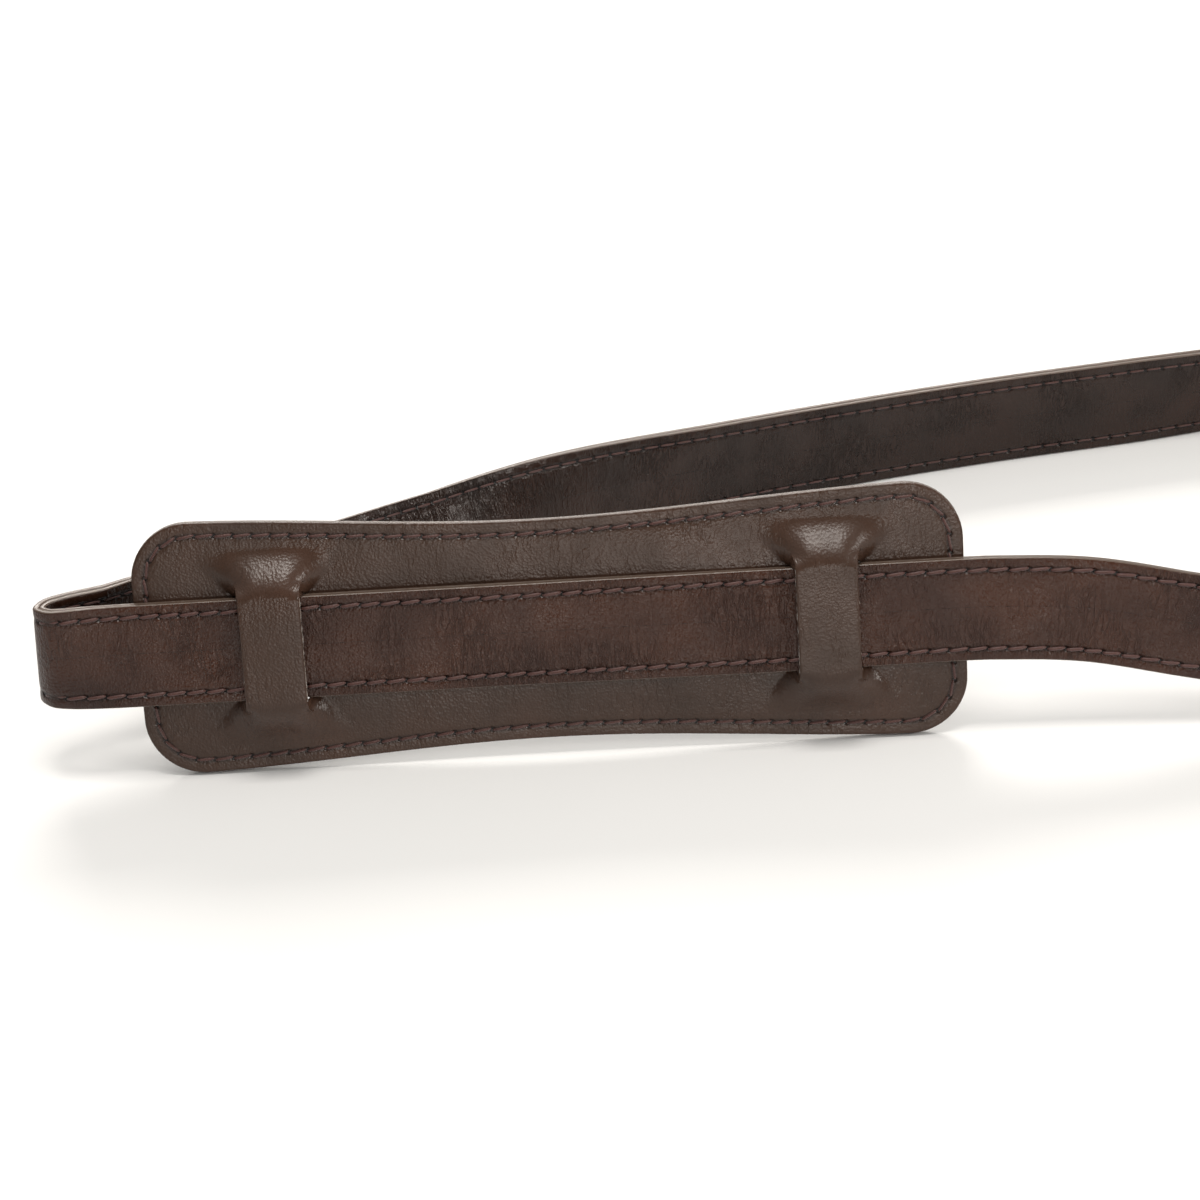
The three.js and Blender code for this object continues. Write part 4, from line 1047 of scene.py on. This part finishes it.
# ----------------------------------------------------------- buckle leather
# A strip of hide folded round the heel bar holds the buckle, its legs glued
# over and under the strap's end, with a slot for the tongue. Two keepers of
# the same hide are closed loops round strap and billet.
HEEL_BAR_Z = BUCKLE_LIFT + STRAP_THICK / 2
CHAPE_PLY = 1.2
CHAPE_HALF = 12.0
CHAPE_LEG = 33.0
CHAPE_RADIUS = STRAP_THICK / 2 + 0.3 + CHAPE_PLY / 2
TONGUE_SLOT_HALF = 2.6
KEEPER_WIDTH = 8.0
KEEPER_WALL = 1.1
KEEPER_CORNER = 1.6
KEEPERS = {"fixed_keeper": (-43.0, "strap"), "sliding_keeper": (-58.0, "keeper")}


def band(path, closed, across, thick, step, skip=None):
    """A strip of hide bent along a path: the path is drawn out across, given
    its thickness evenly on both sides and its edges rubbed round."""
    bm = bmesh.new()
    count = max(1, round(Vector(across).length / step))
    verts = [bm.verts.new(p) for p in path]
    edges = [bm.edges.new(pair) for pair in zip(verts, verts[1:] + (verts[:1] if closed else []))]
    for _ in range(count):
        made = bmesh.ops.extrude_edge_only(bm, edges=edges)["geom"]
        edges = [g for g in made if isinstance(g, bmesh.types.BMEdge)]
        bmesh.ops.translate(bm, vec=Vector(across) / count,
                            verts=[g for g in made if isinstance(g, bmesh.types.BMVert)])
    if skip:
        bmesh.ops.delete(bm, geom=[f for f in bm.faces if skip(f.calc_center_median())], context="FACES")
    bmesh.ops.recalc_face_normals(bm, faces=bm.faces)
    flat = bm.verts.layers.float_vector.new("flat")
    seam = bm.verts.layers.float_vector.new("seam")
    for v in bm.verts:
        v[flat] = v.co
        v[seam] = (0.5, 99, 0)
    bmesh.ops.solidify(bm, geom=bm.faces[:], thickness=thick)
    bmesh.ops.recalc_face_normals(bm, faces=bm.faces)
    rims = [e for e in bm.edges if e.calc_face_angle(0) > math.radians(70)]
    bmesh.ops.bevel(bm, geom=rims, offset=thick * 0.22, offset_type="OFFSET", segments=2, profile=0.5,
                    affect="EDGES", clamp_overlap=True, material=1)
    return bm


chape_path = [(BUCKLE[0] - CHAPE_LEG + 1.5 * i, HEEL_BAR_Z - CHAPE_RADIUS + CHAPE_PLY / 2)
              for i in range(22)]
chape_path += arc(BUCKLE[0], HEEL_BAR_Z, CHAPE_RADIUS - CHAPE_PLY / 2, -90, 90, 16)
chape_path += [(BUCKLE[0] - 1.5 - 1.5 * i, HEEL_BAR_Z + CHAPE_RADIUS - CHAPE_PLY / 2) for i in range(22)]
chape = band([Vector((x, BUCKLE[1] - CHAPE_HALF, z)) for x, z in chape_path], False,
             (0, 2 * CHAPE_HALF, 0), CHAPE_PLY, 1.2,
             lambda c: abs(c.y - BUCKLE[1]) < TONGUE_SLOT_HALF and c.x > BUCKLE[0] - 5)
make_piece(chape, "buckle_chape_hide", [strap_leather, strap_edge], "strap",
           ["buckle_chape"])


def keeper_path(x):
    """Once round a keeper's inside, in the plane across the strap at x."""
    half = STRAP_WIDTH / 2 + 0.7
    low = BUCKLE_LIFT - 0.35
    high = BILLET_OVER + BILLET_THICK + 0.35
    r = KEEPER_CORNER - KEEPER_WALL + 0.1
    corners = [(half - r, low + r, -90), (half - r, high - r, 0), (r - half, high - r, 90),
               (r - half, low + r, 180)]
    points = []
    for y, z, start in corners:
        points += arc(y, z, r, start, start + 90, 4)
    return [Vector((x, BUCKLE[1] + y, z)) for y, z in points]


for keeper, (at, body) in KEEPERS.items():
    loop_of_hide = band(keeper_path(BUCKLE[0] + at - KEEPER_WIDTH / 2), True, (KEEPER_WIDTH, 0, 0),
                        -KEEPER_WALL, 1.0)
    make_piece(loop_of_hide, keeper + "_hide", [strap_leather, strap_edge], body, [keeper])

# ------------------------------------------------------------------ buckle
# A cast brass roller buckle: a frame with round heel and front bars, a
# sheet-brass roller on the front bar and a tongue that turns on the heel.
FRAME_TILT = math.radians(4.9)
FRAME_REACH = 24.0
BAR_RADIUS = 1.4
RAIL = 2.8
RAIL_INNER = STRAP_WIDTH / 2 + 1.1
FRAME_THICK = 2.6
FRAME_CORNER = 4.0
ROLLER_INNER = BAR_RADIUS + 0.35
ROLLER_OUTER = ROLLER_INNER + 0.55
ROLLER_HALF = RAIL_INNER - 0.6
TONGUE_WIDTH = 3.2
EYE_OUTER = ROLLER_INNER + 1.0
TO_HEEL = Matrix.Translation((*BUCKLE, HEEL_BAR_Z))
TO_FRAME_TILT = TO_HEEL @ Matrix.Rotation(-FRAME_TILT, 4, "Y")
ACROSS = Matrix.Rotation(math.radians(90), 4, "X")


def rounded_rectangle(x0, x1, half, r, steps):
    """A rounded rectangle's outline from x0 to x1."""
    points = []
    for x, y, start in ((x1 - r, r - half, -90), (x1 - r, half - r, 0), (x0 + r, half - r, 90),
                        (x0 + r, r - half, 180)):
        points += arc(x, y, r, start, start + 90, steps)
    return points


def merge(bm, other, matrix):
    """Adds another shape to a piece, moved by a matrix."""
    bmesh.ops.transform(other, matrix=matrix, verts=other.verts)
    mesh = bpy.data.meshes.new("part")
    other.to_mesh(mesh)
    other.free()
    bm.from_mesh(mesh)
    bpy.data.meshes.remove(mesh)


rails = cut_plate([rounded_rectangle(-1.6, FRAME_REACH + 2, RAIL_INNER + RAIL, FRAME_CORNER, 8),
                   rounded_rectangle(0.9, FRAME_REACH - 0.9, RAIL_INNER, 1.0, 4)], FRAME_THICK, 0.85)
bmesh.ops.translate(rails, vec=(0, 0, -FRAME_THICK / 2), verts=rails.verts)
for bar_x in (0, FRAME_REACH):
    bar = bmesh.new()
    bmesh.ops.create_cone(bar, cap_ends=True, segments=28, radius1=BAR_RADIUS, radius2=BAR_RADIUS,
                          depth=2 * RAIL_INNER + RAIL)
    merge(rails, bar, Matrix.Translation((bar_x, 0, 0)) @ ACROSS)
bmesh.ops.transform(rails, matrix=TO_FRAME_TILT, verts=rails.verts)
make_piece(rails, "buckle_frame_casting", [brass], "frame", ["buckle_frame"], sharp=40)

roller = spun([(ROLLER_INNER, -ROLLER_HALF), (ROLLER_OUTER - 0.15, -ROLLER_HALF),
               (ROLLER_OUTER, 0.15 - ROLLER_HALF), (ROLLER_OUTER, ROLLER_HALF - 0.15),
               (ROLLER_OUTER - 0.15, ROLLER_HALF), (ROLLER_INNER, ROLLER_HALF),
               (ROLLER_INNER, -ROLLER_HALF)], 40)
bmesh.ops.transform(roller, matrix=TO_FRAME_TILT @ Matrix.Translation((FRAME_REACH, 0, 0)) @ ACROSS,
                    verts=roller.verts)
make_piece(roller, "buckle_roller_tube", [brass], "roller", ["buckle_roller"], sharp=40)

_, tongue_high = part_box("buckle_tongue")
tip = TO_FRAME.inverted() @ tongue_high - Vector((*BUCKLE, HEEL_BAR_Z))
tongue_side = [(2.0, 1.2), (tip.x - 2.2, tip.z - 2.25), (tip.x - 0.6, tip.z - 2.0), (tip.x, tip.z - 1.2),
               (tip.x - 2.4, tip.z - 0.05), (0.4, ROLLER_INNER + 0.7)]
tongue = cut_plate([tongue_side], TONGUE_WIDTH - 0.2, 0.5)
bmesh.ops.translate(tongue, vec=(0, 0, 0.1 - TONGUE_WIDTH / 2), verts=tongue.verts)
bmesh.ops.transform(tongue, matrix=ACROSS, verts=tongue.verts)
eye = spun([(ROLLER_INNER, -TONGUE_WIDTH / 2), (EYE_OUTER - 0.2, -TONGUE_WIDTH / 2),
            (EYE_OUTER, 0.2 - TONGUE_WIDTH / 2), (EYE_OUTER, TONGUE_WIDTH / 2 - 0.2),
            (EYE_OUTER - 0.2, TONGUE_WIDTH / 2), (ROLLER_INNER, TONGUE_WIDTH / 2),
            (ROLLER_INNER, -TONGUE_WIDTH / 2)])
merge(tongue, eye, ACROSS)
bmesh.ops.transform(tongue, matrix=TO_HEEL, verts=tongue.verts)
make_piece(tongue, "buckle_tongue_casting", [brass], "tongue", ["buckle_tongue"],
           sharp=40)
